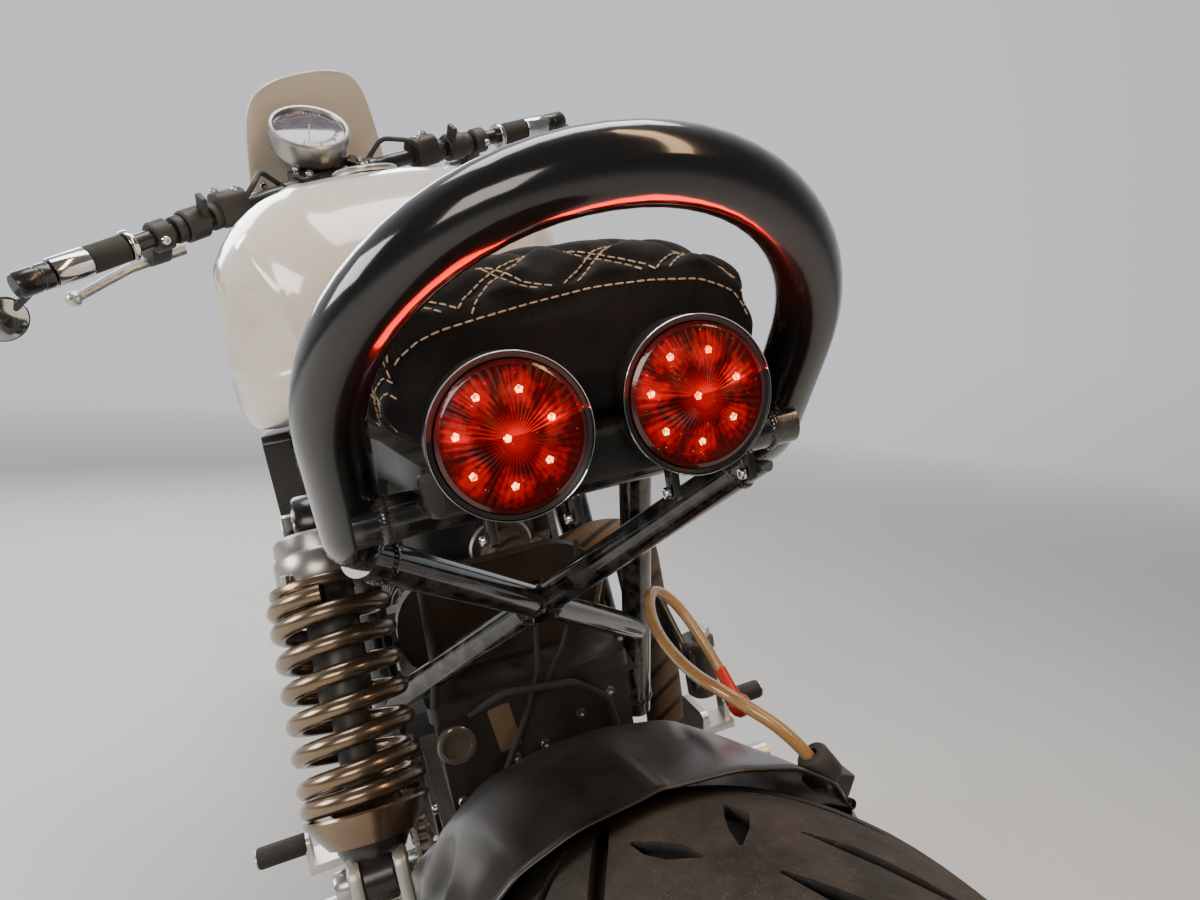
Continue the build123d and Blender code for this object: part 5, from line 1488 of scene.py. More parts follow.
def make_wheel(end, body, place, tyre, rim, discs):
    """One wheel: tread, sidewalls, cast rim, discs with carriers, hub bolts."""
    radius, width, crown, bead = tyre
    shapes = [(tread(radius, width, crown, matched("tread_depth") * 1000),
               swung(-math.radians(TREAD_PHASE), "Y"))]
    piece(end + "_tread", shapes, "tyre_rubber", body, place, (end + "_tyre",), 40)
    piece(end + "_sidewalls", tyre_walls(*tyre), "tyre_rubber", body, place)
    piece(end + "_cast_rim", cast_rim(bead, *rim), "rim_black", body, place, (end + "_rim",), 34)
    node = "rear_disc" if end == "rear" else "front_discs"
    disc_r, disc_y, thick, sides = discs
    rotor = drilled_disc(disc_r, disc_r * 0.74, thick)
    star = []
    for number in range(20):
        turn, reach = math.tau * number / 20, disc_r * (0.735 if number % 2 else 0.60)
        star.append((math.cos(turn) * reach, math.sin(turn) * reach))
    carrier = plate(star, thick - 1, 3, 0.5)
    rotors, hubs, bolts = [], [], []
    for side in sides:
        at = swung(-QUARTER * side, "X") @ shift(0, 0, disc_y)
        rotors.append((rotor, at))
        hubs.append((carrier, at @ shift(0, 0, 0.5)))
        low = at @ shift(0, 0, thick - 0.6) @ Matrix.Diagonal((1, 1, 0.4, 1))
        bolts += ring_of(BOLT, 10, disc_r * 0.725, low, math.tau / 20)
        bolts += ring_of(BOLT, 5, 48, at @ shift(0, 0, thick - 1), 0.3)
    piece(end + "_rotors", rotors, "disc_steel", body, place, (node,), 30)
    piece(end + "_disc_carriers", hubs, "gloss_black", body, place)
    piece(end + "_disc_bolts", bolts, "steel", body, place)


def make_rear_wheel():
    make_wheel("rear", "rear_wheel", REAR_WHEEL, REAR_TYRE, REAR_RIM, REAR_DISC)
    refined("rear_sprocket", "chain_steel", 0.4)
    nuts = ring_of(HEX_NUT, 5, 48, across(0, 0, 108.6), 0.3)
    piece("sprocket_nuts", nuts, "steel", "rear_wheel", REAR_WHEEL)
    refined("rear_axle", "steel", 0.6)


def make_front_wheel():
    make_wheel("front", "front_wheel", FRONT_WHEEL, FRONT_TYRE, FRONT_RIM, FRONT_DISCS)
    refined("front_axle", "steel", 0.6)


# x, z and pitch radius of both sprockets
CHAIN_SPROCKETS = ((0.0, 316.0, 99.5), (555.0, 372.0, 40.0))
CHAIN_PITCH, CHAIN_Y = 15.875, 106.0


def make_chain():
    """Chain of plates and rollers round both sprockets."""
    (x1, z1, r1), (x2, z2, r2) = CHAIN_SPROCKETS
    span = Vector((x2 - x1, z2 - z1))
    tilt = math.atan2(span.y, span.x)
    lean = math.asin((r1 - r2) / span.length)
    run = math.sqrt(span.length ** 2 - (r1 - r2) ** 2)
    arcs = (r1 * (math.pi + 2 * lean), run, r2 * (math.pi - 2 * lean), run)
    total = sum(arcs)
    links = 2 * round(total / CHAIN_PITCH / 2)
    pitch = total / links

    def spot(far):
        far %= total
        top = tilt + QUARTER - lean
        if far < arcs[0]:
            turn = top + far / r1
            return Vector((x1 + r1 * math.cos(turn), z1 + r1 * math.sin(turn)))
        far -= arcs[0]
        if far < run:
            turn = tilt - QUARTER + lean
            start = Vector((x1 + r1 * math.cos(turn), z1 + r1 * math.sin(turn)))
            end = Vector((x2 + r2 * math.cos(turn), z2 + r2 * math.sin(turn)))
            return start.lerp(end, far / run)
        far -= run
        if far < arcs[2]:
            turn = tilt - QUARTER + lean + far / r2
            return Vector((x2 + r2 * math.cos(turn), z2 + r2 * math.sin(turn)))
        far -= arcs[2]
        start = Vector((x2 + r2 * math.cos(top), z2 + r2 * math.sin(top)))
        end = Vector((x1 + r1 * math.cos(top), z1 + r1 * math.sin(top)))
        return start.lerp(end, far / run)

    link = plate(mirrored([(-7.4, 2.6), (-5.2, 5.6), (0, 5.9), (3.5, 4.6), (12.4, 4.6), (15.9, 5.9),
                           (21, 5.6), (23.2, 2.6)]), 2.0, 0, 0)
    roller = turned(mirrored([(0, 9), (2.6, 9), (2.6, 5), (4.6, 5)]), 10)
    plates, rollers = [], []
    for number in range(links):
        here, there = spot(number * pitch), spot((number + 1) * pitch)
        turn = math.atan2(there.y - here.y, there.x - here.x)
        at = shift(here.x, CHAIN_Y, here.y) @ swung(-turn, "Y")
        lift = 5.8 if number % 2 else 3.6
        upright = swung(QUARTER, "X")
        plates.append((link, at @ shift(0, lift + 2, 0) @ upright))
        plates.append((link, at @ shift(0, -lift, 0) @ upright))
        rollers.append((roller, at @ upright))
    piece("chain_plates", plates, "chain_steel", stands_for=("drive_chain",), smooth=30)
    piece("chain_rollers", rollers, "chain_steel")


# Rear mudguard, hose and rear brake

HUGGER_RIBS = [
    # crest x, z; foot of the flank x, z; corner
    (114, 620, 112, 562, 104), (150, 611, 146, 540, 104), (185, 602, 172, 510, 102),
    (220, 591, 202, 482, 100), (255, 577, 234, 452, 98), (288, 558, 266, 424, 96),
    (320, 535, 296, 400, 92), (350, 507, 328, 394, 84), (372, 481, 360, 400, 66),
    (386, 459, 384, 414, 40), (392, 441, 393, 426, 14),
]
SHOCK_HOLLOW_R = 45
# half width, how much narrower it is at the rear, and between which x it narrows
HUGGER_HALF, HUGGER_NARROWS, HUGGER_FROM_X, HUGGER_TO_X = 121.5, 23.5, 280, 130


def make_hugger():
    """Curved rear mudguard, hollowed where the shock passes."""
    loops = []
    for cx, cz, fx, fz, corner in HUGGER_RIBS:
        rearward = held((HUGGER_FROM_X - cx) / (HUGGER_FROM_X - HUGGER_TO_X))
        half = HUGGER_HALF - HUGGER_NARROWS * rearward
        corner = min(corner, half - 8)
        crest, foot = Vector((cx, 0, cz)), Vector((fx, 0, fz))
        down = (foot - crest).normalized()
        deep = (foot - crest).length
        loop = [(half, deep), (half, deep * 0.7 + corner * 0.3 * (deep > corner))]
        flat = min(1.0, deep / corner * 0.8)
        for turn in map(math.radians, (0, 22, 45, 68, 90)):
            loop.append((half - corner * (1 - math.cos(turn)), corner * (1 - math.sin(turn)) * flat))
        loop += [((half - corner) / 2, -0.9), (0, -1.2)]
        loop += [(-y, d) for y, d in reversed(loop[:-1])]
        loops.append([tuple(crest + down * d + Vector((0, y, 0))) for y, d in loop])
    bm = opened(lofted(loops, closed=False, capped=False))
    bmesh.ops.subdivide_edges(bm, edges=bm.edges, cuts=2, use_grid_fill=True)
    way = (SHOCK_TOP - SHOCK_EYE).normalized()
    for vert in bm.verts:
        along = (vert.co - SHOCK_EYE).dot(way)
        near = SHOCK_EYE + way * along
        off = vert.co - near
        if along > -26 and off.length < SHOCK_HOLLOW_R:
            vert.co = near + off.normalized() * SHOCK_HOLLOW_R
    satin = finish("mudguard_black", (0.010, 0.0072, 0.0052), (0.021, 0.015, 0.0105), (0.3, 0.42), mottle=9.0,
                   grain=900.0, strength=0.05, dust=0.06, Coat_Weight=0.25, Coat_Roughness=0.2)
    piece("mudguard", [(kept(bm), HERE)], "gloss_black", stands_for=("rear_hugger",), subdivide=1,
          smooth=180, shell=3.0, material=satin)


HOSE_ROUTE = [(96, -108, 446.2), (112, -108, 505), (126, -106, 556), (136, -84, 606), (156, -60, 628),
              (196, -52, 630), (236, -50, 642), (266, -62, 654), (276, -80, 640), (262, -92, 612),
              (240, -101, 572)]


def make_hose():
    """Rear brake hose in one loose loop over the mudguard, with its clip and end cap."""
    curve = bpy.data.curves.new("brake_hose", "CURVE")
    curve.dimensions = "3D"
    spline = curve.splines.new("NURBS")
    spline.points.add(len(HOSE_ROUTE) - 1)
    for point, place in zip(spline.points, HOSE_ROUTE):
        point.co = (*(MACHINE @ Vector(place)), 1.0)
    spline.order_u = 3
    spline.use_endpoint_u = True
    curve.resolution_u = 24
    curve.bevel_depth = 0.0035
    curve.bevel_resolution = 6
    curve.use_fill_caps = True
    curve.materials.append(FINISHES["hose_clear"])
    hose = added("brake_hose", curve)
    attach(hose, "chassis")
    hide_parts("rear_brake_hose")
    clip = turned(mirrored([(4.0, 8), (8, 8), (9, 6.5)]), 24)
    fitting = turned([(3.8, 0), (6.4, 0), (6.4, 3), (5.2, 4), (5.2, 16), (4.0, 17)], 6)
    parts = [(clip, aimed((131, -92, 590), (10, 24, 45))),
             (plate(oblong(-7, 7, -12, 12), 12, 3, 1),
              shift(136, -96, 572) @ swung(0.5, "X"))]
    piece("hose_clip", parts, "black_plastic")
    start = Vector(HOSE_ROUTE[0])
    end = Vector(HOSE_ROUTE[-1])
    piece("hose_fittings", [(fitting, aimed(start, Vector(HOSE_ROUTE[1]) - start))], "steel")
    cap = turned([(0, -9), (3.8, -8.2), (6.6, -5.2), (7.6, -1.4), (6.8, 2.2), (4.4, 4.6), (4.0, 6), (4.0, 24),
                  (3.7, 24.6)], 24)
    red = finish("red_cap", (0.55, 0.02, 0.01), (0.68, 0.05, 0.02), (0.25, 0.4), metallic=0.4, dust=0.05)
    piece("hose_end_cap", [(cap, aimed(end, Vector(HOSE_ROUTE[-2]) - end))], "alloy", material=red)


def make_rear_brake():
    """Rear caliper and its reservoir on a bracket."""
    refined("rear_caliper", "caliper_black", 1.6)
    pot = turned([(0, -42), (9, -42), (11, -40), (11.5, -8), (12.5, -6), (12.5, 0), (11, 1.5), (0, 2)], 36)
    piece("reservoir_pot", [(pot, shift(304, -104, 592))], "caliper_black",
          stands_for=("brake_reservoir",))
    lid = turned([(0, 0), (4.6, 0), (6.4, 4), (6.6, 7), (5.6, 8.4), (0, 8.8)], 24)
    bracket = plate(oblong(-6, 6, -16, 16), 4, 3, 0.8)
    piece("reservoir_lid", [(lid, shift(301, -107, 592))], "alloy")
    hanger = plate([(296, 574), (312, 574), (352, 612), (346, 622), (332, 618), (300, 594)], 5, 5, 1)
    shapes = [(bracket, shift(300, -94, 574) @ swung(QUARTER, "X")),
              (hanger, side_on(-90))]
    piece("reservoir_bracket", shapes, "gloss_black")
    points = [(340, -94, 611), (333, -94, 602), (316, -94, 590)]
    piece("reservoir_bolts", bolts_at(points, (-1, -0.4, 0.3), 0.6), "lamp_chrome")
    points = [(80, -122, 400), (104, -122, 352), (74, -122, 436), (116, -122, 436)]
    piece("caliper_bolts", bolts_at(points, (0, -1, 0)), "steel")


# Engine and exhaust

CRANK_AT, CYLINDER_ANGLES = (690, 360), (15, 105)


def on_cylinder(angle, y=0):
    """Placing at the crank with z along a cylinder, angle in degrees above the level."""
    return shift(CRANK_AT[0], y, CRANK_AT[1]) @ swung(math.radians(90 - angle), "Y")


def ported(angle, side, reach):
    """Point at or behind a cylinder's exhaust port."""
    return on_cylinder(angle) @ Vector((side * (62 + reach), -22, 288))


HEADER_CORNERS = [
    (105, -1, [(486, -130, 625), (592, -172, 430), (604, -172, 270), (664, -142, 186)], [44, 44, 80, 50]),
    (15, 1, [(900, -100, 180), (690, -142, 180)], [60, 60]),
]


def make_exhaust():
    """Wrapped header pipes, collector and silencer."""
    shapes, clamps = [], []
    for angle, side, corners, bends in HEADER_CORNERS:
        route = [ported(angle, side, 0.2), ported(angle, side, 74)] + [Vector(corner) for corner in corners]
        shapes.append((pipe(route, bends, 21.0, 36, 14), HERE))
        clamps.append((turned([(20, 0), (29, 0), (30, 1.5), (30, 8), (28, 10), (20, 10)], 36),
                       aimed(route[0], route[1] - route[0])))
    collector = turned(mirrored([(0, 36), (26, 36), (33, 30), (34, 24)]), 40)
    shapes.append((collector, aimed((664, -142, 180), (1, 0, 0))))
    piece("header_pipes", shapes, "pipe_bronze", stands_for=("exhaust_headers",))
    piece("header_clamps", clamps, "steel")
    axis = aimed((632, -142, 180), Vector((408, -166, 226)) - Vector((632, -142, 180)))
    can = turned([(0, 0), (34, 0), (42, 6), (46, 16), (46.6, 20), (46, 22), (46, 208), (46.6, 211), (46, 214),
                  (45, 222), (41, 229.5), (33, 230), (30, 228), (29, 215), (29, 190), (0, 190)], 64)
    piece("silencer_can", [(can, axis)], "silencer_black", stands_for=("silencer",))


def make_engine():
    """Cases with bolted covers, finned cylinders, plug leads and belt covers."""
    refined("engine_cases", "engine_alloy", 1.6)
    refined("front_cylinder", "fin_alloy", 0.5)
    refined("rear_cylinder", "fin_alloy", 0.5)
    refined("air_box", "black_plastic", 1.2)
    refined("battery_box", "black_plastic", 1.6)
    filler = turned([(0, 0), (15, 0), (15.4, 1), (15.4, 5), (14, 6), (11.5, 6), (11, 3.5), (5, 3),
                     (0, 3.4)], 36)
    piece("box_filler", [(filler, aimed((404, 66, 519), (-1, 0, 0)))], "gloss_black",
          material=finish("clear_cap", (0.085, 0.072, 0.056), (0.14, 0.12, 0.095), (0.1, 0.2), dust=0.1,
                          Coat_Weight=1.0))
    label = plate(oblong(-9, 9, -19, 19), 0.8, 2, 0.2)
    piece("box_plate", [(label, aimed((404, 27, 519), (-1, 0, 0)) @ swung(0.12, "Z"))], "black_plastic",
          material=finish("plain_plate", (0.15, 0.105, 0.062), (0.22, 0.16, 0.10), (0.35, 0.5)))
    cover = plate([(-80, -40), (80, -40), (92, 8), (66, 42), (-66, 42), (-92, 8)], 16, 24, 5)
    piece("box_cover", [(cover, aimed((462, 2, 600), (-1, 0, 0)))], "black_plastic",
          material=finish("cover_brown", (0.026, 0.0165, 0.010), (0.05, 0.032, 0.019), (0.34, 0.5),
                          mottle=20.0))
    points = [(404, y, z) for y, z in ((23, 492), (-2, 495), (-35, 511), (-62, 522), (70, 470), (-70, 470))]
    piece("box_bolts", bolts_at(points, (-1, 0, 0), 0.8), "steel")
    leads = [([(398, 44, 470), (392, 30, 496), (396, 8, 530), (402, -8, 560), (430, -20, 600)], 2.6),
             ([(399, 52, 540), (386, 24, 556), (384, -30, 548), (396, -58, 520), (400, -64, 480)], 3.2),
             ([(400, -10, 545), (388, -26, 575), (404, -52, 612), (440, -66, 640)], 2.4),
             ([(398, 76, 556), (390, 70, 590), (420, 66, 640)], 3.4)]
    piece("wiring", [(pipe(route, [16] * (len(route) - 2), wide, 12, 4), HERE) for route, wide in leads],
          "grip_rubber")
    rod = pipe([(404, -71, 615), (404, -63, 594)], (), 2.4, 12)
    ball = turned([(0, 5.4), (3.4, 4.2), (5.2, 1.6), (5.2, -1.6), (3.4, -4.2), (0, -5.4)], 20)
    piece("link_rod", [(rod, HERE), (ball, shift(404, -63, 593))], "spring_bronze")
    refined("oil_cooler", "black_plastic", 0.8)
    refined("swing_arm_spindle", "steel", 0.6)
    cover = turned([(0, 4), (30, 4), (34, 2), (58, 1), (66, -2), (82, -6), (90, -14), (91, -22)], 72)
    rib = plate(oblong(30, 80, -1.6, 1.6), 4, 1, 0.6)
    left, right = across(710, 360, 119), across(710, 360, -119) @ swung(math.pi, "X")
    covers, bolts = [(cover, left), (cover, right)], []
    for spot in (left, right):
        covers += ring_of(rib, 9, 0, spot @ shift(0, 0, -2))
        bolts += ring_of(BOLT, 9, 85, spot @ shift(0, 0, -9), 0.35)
    piece("engine_covers", covers, "engine_alloy")
    for x, z in ((468, 372), (500, 412), (640, 452), (790, 448), (838, 380), (826, 300), (770, 232),
                 (610, 216), (540, 262)):
        bolts += both(bolts_at([(x, 87.6, z)], (0, 1, 0)))
    piece("engine_bolts", bolts, "steel")
    belt = plate([(-30, 100), (34, 100), (46, 190), (52, 300), (40, 332), (-40, 332), (-52, 300), (-40, 190)],
                 16, 16, 3)
    cap = turned([(0, 0), (9, 0), (10, 2), (8, 10), (7.5, 22), (6, 26), (0, 27)], 20)
    belts, caps = [], []
    for angle in CYLINDER_ANGLES:
        belts.append((belt, on_cylinder(angle, -60) @ swung(QUARTER, "X")))
        caps.append((cap, on_cylinder(angle) @ aimed((0, 60, 300), (0, 1, 0.2))))
    piece("belt_covers", belts, "black_plastic")
    piece("plug_caps", caps, "grip_rubber")
    fins = [(plate(oblong(-44, 44, -1, 1), 200, 0, 0.3),
             shift(1020, 100, 628) @ swung(math.radians(12), "Y")
             @ shift(-14, 0, step * 7 - 38) @ swung(QUARTER, "X")
             @ Matrix.Scale(0.2, 4, (1, 0, 0))) for step in range(12)]
    piece("cooler_fins", fins, "steel")


# Steering, fork and front end

BAR_BEND, BAR_END = (45, 110), (8, 398)
BAR_Z = 1125


def bar_point(left):
    """Point of the left bar's middle line at a distance from the middle of the machine."""
    share = (left - BAR_BEND[1]) / (BAR_END[1] - BAR_BEND[1])
    return Vector((BAR_BEND[0] + (BAR_END[0] - BAR_BEND[0]) * share, left, BAR_Z))


def on_bar(left):
    """Placing with z along the left bar, outwards."""
    return aimed(bar_point(left), bar_point(left + 10) - bar_point(left))


def make_fork():
    """Upside-down fork, yokes, fender, calipers and headstock parts."""
    foot, split, top = FRONT_AXLE_U - 26, 600.0, 1086.0
    leg = turned([(0, foot), (18, foot), (21.5, foot + 4), (21.5, split - 6)], 48)
    tube = turned([(21.6, split), (26.6, split), (27, split + 2), (27, split + 30), (26, split + 34),
                   (26, top - 34), (27, top - 30), (27, top - 4), (25, top - 1), (19, top), (17, top + 3),
                   (8, top + 3), (0, top + 3)], 48)
    seal = turned([(21.4, split - 8), (25, split - 8), (26, split - 4), (26, split), (21.4, split)], 48)
    foot_block = plate([(-28, -32), (28, -32), (28, 26), (14, 38), (-14, 38), (-28, 26)], 36, 8, 3)
    legs, tubes = [], []
    for side in (-1, 1):
        at = shift(FORK_OFFSET, side * 100, 0)
        legs.append((leg, at))
        tubes += [(tube, at), (seal, at)]
        block = shift(FORK_OFFSET, side * 100 + 18, FRONT_AXLE_U)
        tubes.append((foot_block, block @ swung(QUARTER, "X")))
    steered("stanchions", legs, "steel")
    steered("fork_tubes", tubes, "gloss_black", ("fork_legs",))
    refined("steering_stem", "gloss_black", 1.4)
    refined("top_yoke", "gloss_black", 1.2)
    bolts = []
    for side in (-1, 1):
        bolts += bolts_at([(29, side * 42, 1144), (61, side * 42, 1144)], (0, 0, 1))
        bolts += bolts_at([(FORK_OFFSET - 36, side * 84, up) for up in (1062, 858)], (-1, 0, 0))
    bolts.append((HEX_NUT, shift(0, 0, 1090) @ sized(2.0)))
    steered("yoke_bolts", bolts, "steel")
    make_front_mudguard([(317, 62), (320.5, 56), (322, 36), (322.6, 0)])
    refined("front_calipers", "caliper_black", 1.6)
    pads = []
    for side in (-1, 1):
        for turn in (152, 138):
            a = math.radians(turn)
            pads.append((BOLT, aimed((FORK_OFFSET + 138 * math.cos(a), side * 99.2,
                                      FRONT_AXLE_U + 138 * math.sin(a)), (0, side, 0))))
    steered("front_caliper_bolts", pads, "steel")


def make_front_mudguard(half):
    """Front mudguard: an arched strip spun part way round the axle, with stays."""
    bm = bmesh.new()
    line = half + [(out, -y) for out, y in reversed(half[:-1])]
    verts = [bm.verts.new((out, y, 0)) for out, y in line]
    edges = [bm.edges.new(pair) for pair in zip(verts, verts[1:])]
    bmesh.ops.rotate(bm, matrix=Matrix.Rotation(math.radians(8), 3, "Y"), verts=bm.verts)
    bmesh.ops.spin(bm, geom=verts + edges, cent=(0, 0, 0), axis=(0, 1, 0), dvec=(0, 0, 0),
                   angle=math.radians(-148), steps=36)
    at = shift(FORK_OFFSET, 0, FRONT_AXLE_U)
    strip = kept(bm)
    steered("front_mudguard", [(strip, at)], "gloss_black", ("front_fender",), smooth=180, subdivide=1,
            shell=-2.5)
    stay = plate([(-16, 205), (16, 205), (28, 316), (-28, 316)], 3, 6, 0.8)
    tab = plate(oblong(-12, 12, 230, 262), 12, 4, 0.8)
    shapes = both([(stay, at @ side_on(69)), (tab, at @ side_on(80))])
    steered("front_mudguard_stays", shapes, "gloss_black")


def make_bars():
    """Handlebar with grips, levers, clamps, switch housings and bar-end mirrors."""
    ends = [(x, -y, BAR_Z) for x, y in (BAR_END, BAR_BEND)] + [(x, y, BAR_Z) for x, y in (BAR_BEND, BAR_END)]
    middle = turned(mirrored([(11, 76), (13.6, 76), (14.3, 74)]), 36)
    shapes = [(pipe(ends, [90, 90], 11.1, 28, 8), HERE), (middle, aimed((BAR_BEND[0], 0, BAR_Z), (0, 1, 0)))]
    steered("bar_tube", shapes, "gloss_black", ("handlebar",))
    grip = turned([(12, -0.5), (15.6, -0.5), (16.4, 0.6), (16.4, 43), (15.8, 45), (12, 45)], 40)
    flange = turned([(12, 0), (18.6, 0), (19.2, 1), (19.2, 6.5), (18.2, 8), (12, 8)], 40)
    sleeve = turned([(12, 0), (16.6, 0), (17, 0.8), (17, 40), (16.6, 41), (12, 41)], 40)
    weight = turned([(0, -1.5), (14, -1.5), (15, 0), (15, 10), (14.2, 11), (14.2, 14), (15, 15), (15, 34),
                     (12.5, 37.6), (0, 38)], 40)
    steered("grip_rubbers", both([(grip, on_bar(308.5))]), "grip_rubber", ("grips",))
    steered("grip_sleeves", both([(flange, on_bar(299)), (sleeve, on_bar(354.5))]), "lamp_chrome")
    head_at = shift(bar_point(426) + Vector((20, 28, -37))) @ swung(QUARTER, "Y")
    shell = turned([(0, 7.6), (15, 6.6), (22, 3.8), (25.6, -1), (26, -3.6), (25.2, -5.6), (0, -5.6)], 48)
    stalk = pipe([bar_point(426) + Vector((0, -8, -8)), bar_point(426) + Vector((18, 14, -30))], (), 4.5, 16)
    steered("bar_end_weights", both([(weight, on_bar(398.5)), (stalk, HERE)]), "gloss_black", ("bar_ends",))
    steered("mirror_shells", both([(shell, head_at)]), "gloss_black")
    glass = turned([(0, -6.0), (23.4, -6.0), (24.0, -5.6)], 48)
    steered("mirror_glasses", both([(glass, head_at)]), "lamp_chrome")
    at = bar_point(262)
    oval = [(-1, 0), (-0.7, 1), (0, 1.2), (0.7, 1), (1, 0), (0.7, -1), (0, -1.2), (-0.7, -1)]
    rows = ((-38, -37, 6.5, 6), (-12, -38, 7.5, 5.4), (34, -40, 7, 4.8), (68, -47, 6.5, 4.4),
            (100, -54, 6, 4.4))
    blade = lofted([[tuple(at + Vector((34 + wide * x, out, up + high * z))) for x, z in oval]
                    for out, up, wide, high in rows])
    bm = bmesh.new()
    bmesh.ops.create_uvsphere(bm, u_segments=20, v_segments=12, radius=9.5)
    ball = kept(bm)
    levers = [(blade, HERE), (ball, shift(at + Vector((34, 107, -55))))]
    steered("lever_blades", both(levers), "alloy", ("bar_controls",))
    clamp = turned(mirrored([(11.3, 11), (17, 11), (19, 9)]), 28)
    perch = plate([(2, -2), (30, -3), (44, -26), (44, -45), (24, -45), (6, -22)], 26, 7, 2)
    switch = turned(mirrored([(11.3, 15), (18.5, 15), (20.5, 12.5)]), 24)
    small = turned(mirrored([(11.3, 6), (16, 6), (17, 4.5)]), 24)
    perches = [(clamp, on_bar(262)), (perch, shift(at) @ side_on(12)),
               (switch, on_bar(216)), (small, on_bar(186)), (small, on_bar(238))]
    flag = plate([(-7, 0), (9, 0), (9, 30), (-7, 28)], 7, 2, 0.8)
    block = plate([(-20, -16), (18, -16), (22, 4), (14, 26), (-14, 28), (-22, 6)], 40, 8, 3)
    perches.append((flag, shift(bar_point(204) + Vector((-12, 0, 8))) @ side_on(4)
                    @ swung(0.3, "Z")))
    perches.append((block, shift(bar_point(162)) @ side_on(18)))
    cable = pipe([bar_point(150) + Vector((-14, 0, 8)), bar_point(128) + Vector((-20, 0, 30)),
                  bar_point(100) + Vector((6, 0, 34)), Vector((60, 60, 1120))], [14, 18], 3.6, 14, 5)
    perches.append((cable, HERE))
    steered("bar_housings", both(perches), "black_plastic")
    pin = [(BOLT, shift(at + Vector((34, -2, -32)))), (BOLT, on_bar(262) @ aimed((18, 0, 5), (1, 0, 0)))]
    pin += [(BOLT, shift(bar_point(162) + Vector((f, l, 25)))) for f, l in ((-6, -12), (8, 10))]
    pin += [(BOLT, on_bar(216) @ aimed((-19, 0, 6), (-1, 0, 0)) @ sized(0.7))]
    steered("bar_fasteners", both(pin), "lamp_chrome")
    knob = turned([(0, 0), (10, 0), (11.5, 2), (11, 8), (7, 11), (0, 12)], 24)
    tan = finish("switch_knob", (0.30, 0.25, 0.19), (0.40, 0.34, 0.27), (0.4, 0.55), dust=0.05)
    knob_at = on_bar(184) @ aimed((-14, 0, 2), (-1, 0, 0))
    steered("switch_knobs", both([(knob, knob_at)]), "black_plastic", material=tan)


GAUGE_AT = STEERING @ shift(76, 0, 1191) @ swung(math.radians(-20.5), "Y")
TICKS, FIRST_TICK, TICK_STEP = 41, -225, 6.75


def make_gauge():
    """Round gauge in a brushed cup, with its dial, pointer and glass."""
    cup = turned([(0, -50), (26, -50), (34, -47), (49, -36), (53, -28), (54, -16), (54, -10), (56, -9),
                  (56, -2), (55, 1.5), (52.5, 3), (49, 2.6), (47.5, 0), (47, -6), (0, -6)], 80)
    post = plate(oblong(-6, 6, -18, 18), 72, 3, 1.2)
    piece("gauge_cup", [(cup, HERE)], "gauge_metal", "steering", GAUGE_AT, ("gauge",), 30)
    steered("gauge_post", [(post, shift(67, 0, 1076.4))], "gloss_black")
    glass = turned([(47.4, -2), (30, -0.8), (0, -0.4)], 64)
    piece("gauge_glass", [(glass, HERE)], "clear_lens", "steering", GAUGE_AT)
    tick = plate(oblong(0, 5, -0.5, 0.5), 0.3, 0, 0)
    long_tick = plate(oblong(0, 8, -0.8, 0.8), 0.3, 0, 0)
    marks = []
    for number in range(TICKS):
        turn = math.radians(FIRST_TICK + number * TICK_STEP)
        mesh = tick if number % 5 else long_tick
        marks.append((mesh, swung(turn, "Z") @ shift(34, 0, -0.75)))
    needle = plate([(-8, -1.2), (34, -0.4), (34, 0.4), (-8, 1.2)], 0.6, 0, 0)
    marks.append((needle, swung(math.radians(-215), "Z") @ shift(0, 0, -0.3)))
    amber = finish("dial_marks", (0.16, 0.12, 0.13), (0.26, 0.19, 0.17), (0.3, 0.4), dust=0.0)
    piece("gauge_marks", marks, "clear_lens", "steering", GAUGE_AT, material=amber)


def make_screen():
    """Painted flyscreen with brackets and bolts."""
    rows = [(0, 122, 0), (40, 117, 3), (80, 111, 6), (115, 104, 7), (138, 95, 7), (152, 83, 6), (161, 69, 5),
            (166, 50, 4)]
    loops = []
    for up, half, bow in rows:
        loop = []
        for step in range(13):
            side = -1 + step / 6
            loop.append((142 + bow * (1 - side ** 2) - 2, -42 + half * side, 1082 + up - 3 * abs(side) ** 3))
        loops.append(loop)
    panel = lofted(loops, closed=False, capped=False)
    steered("screen_panel", [(panel, HERE)], "cream_paint", ("flyscreen",), subdivide=2, smooth=180,
            shell=4.0)
    strap = plate(oblong(0, 12, 0, 66), 4, 5, 1)
    arm = plate(oblong(70, 142, 0, 12), 12, 3, 1)
    shapes, bolts = [], []
    for y in (-58, 58):
        shapes.append((arm, shift(0, y - 6, 1055)))
        strap_at = shift(137, y - 6, 1055) @ swung(QUARTER, "Z") @ swung(QUARTER, "X")
        shapes.append((strap, strap_at))
        bolts += bolts_at([(136, y, 1094), (136, y, 1112)], (-1, 0, 0))
    steered("screen_brackets", shapes, "gloss_black")
    steered("screen_bolts", bolts, "lamp_chrome")


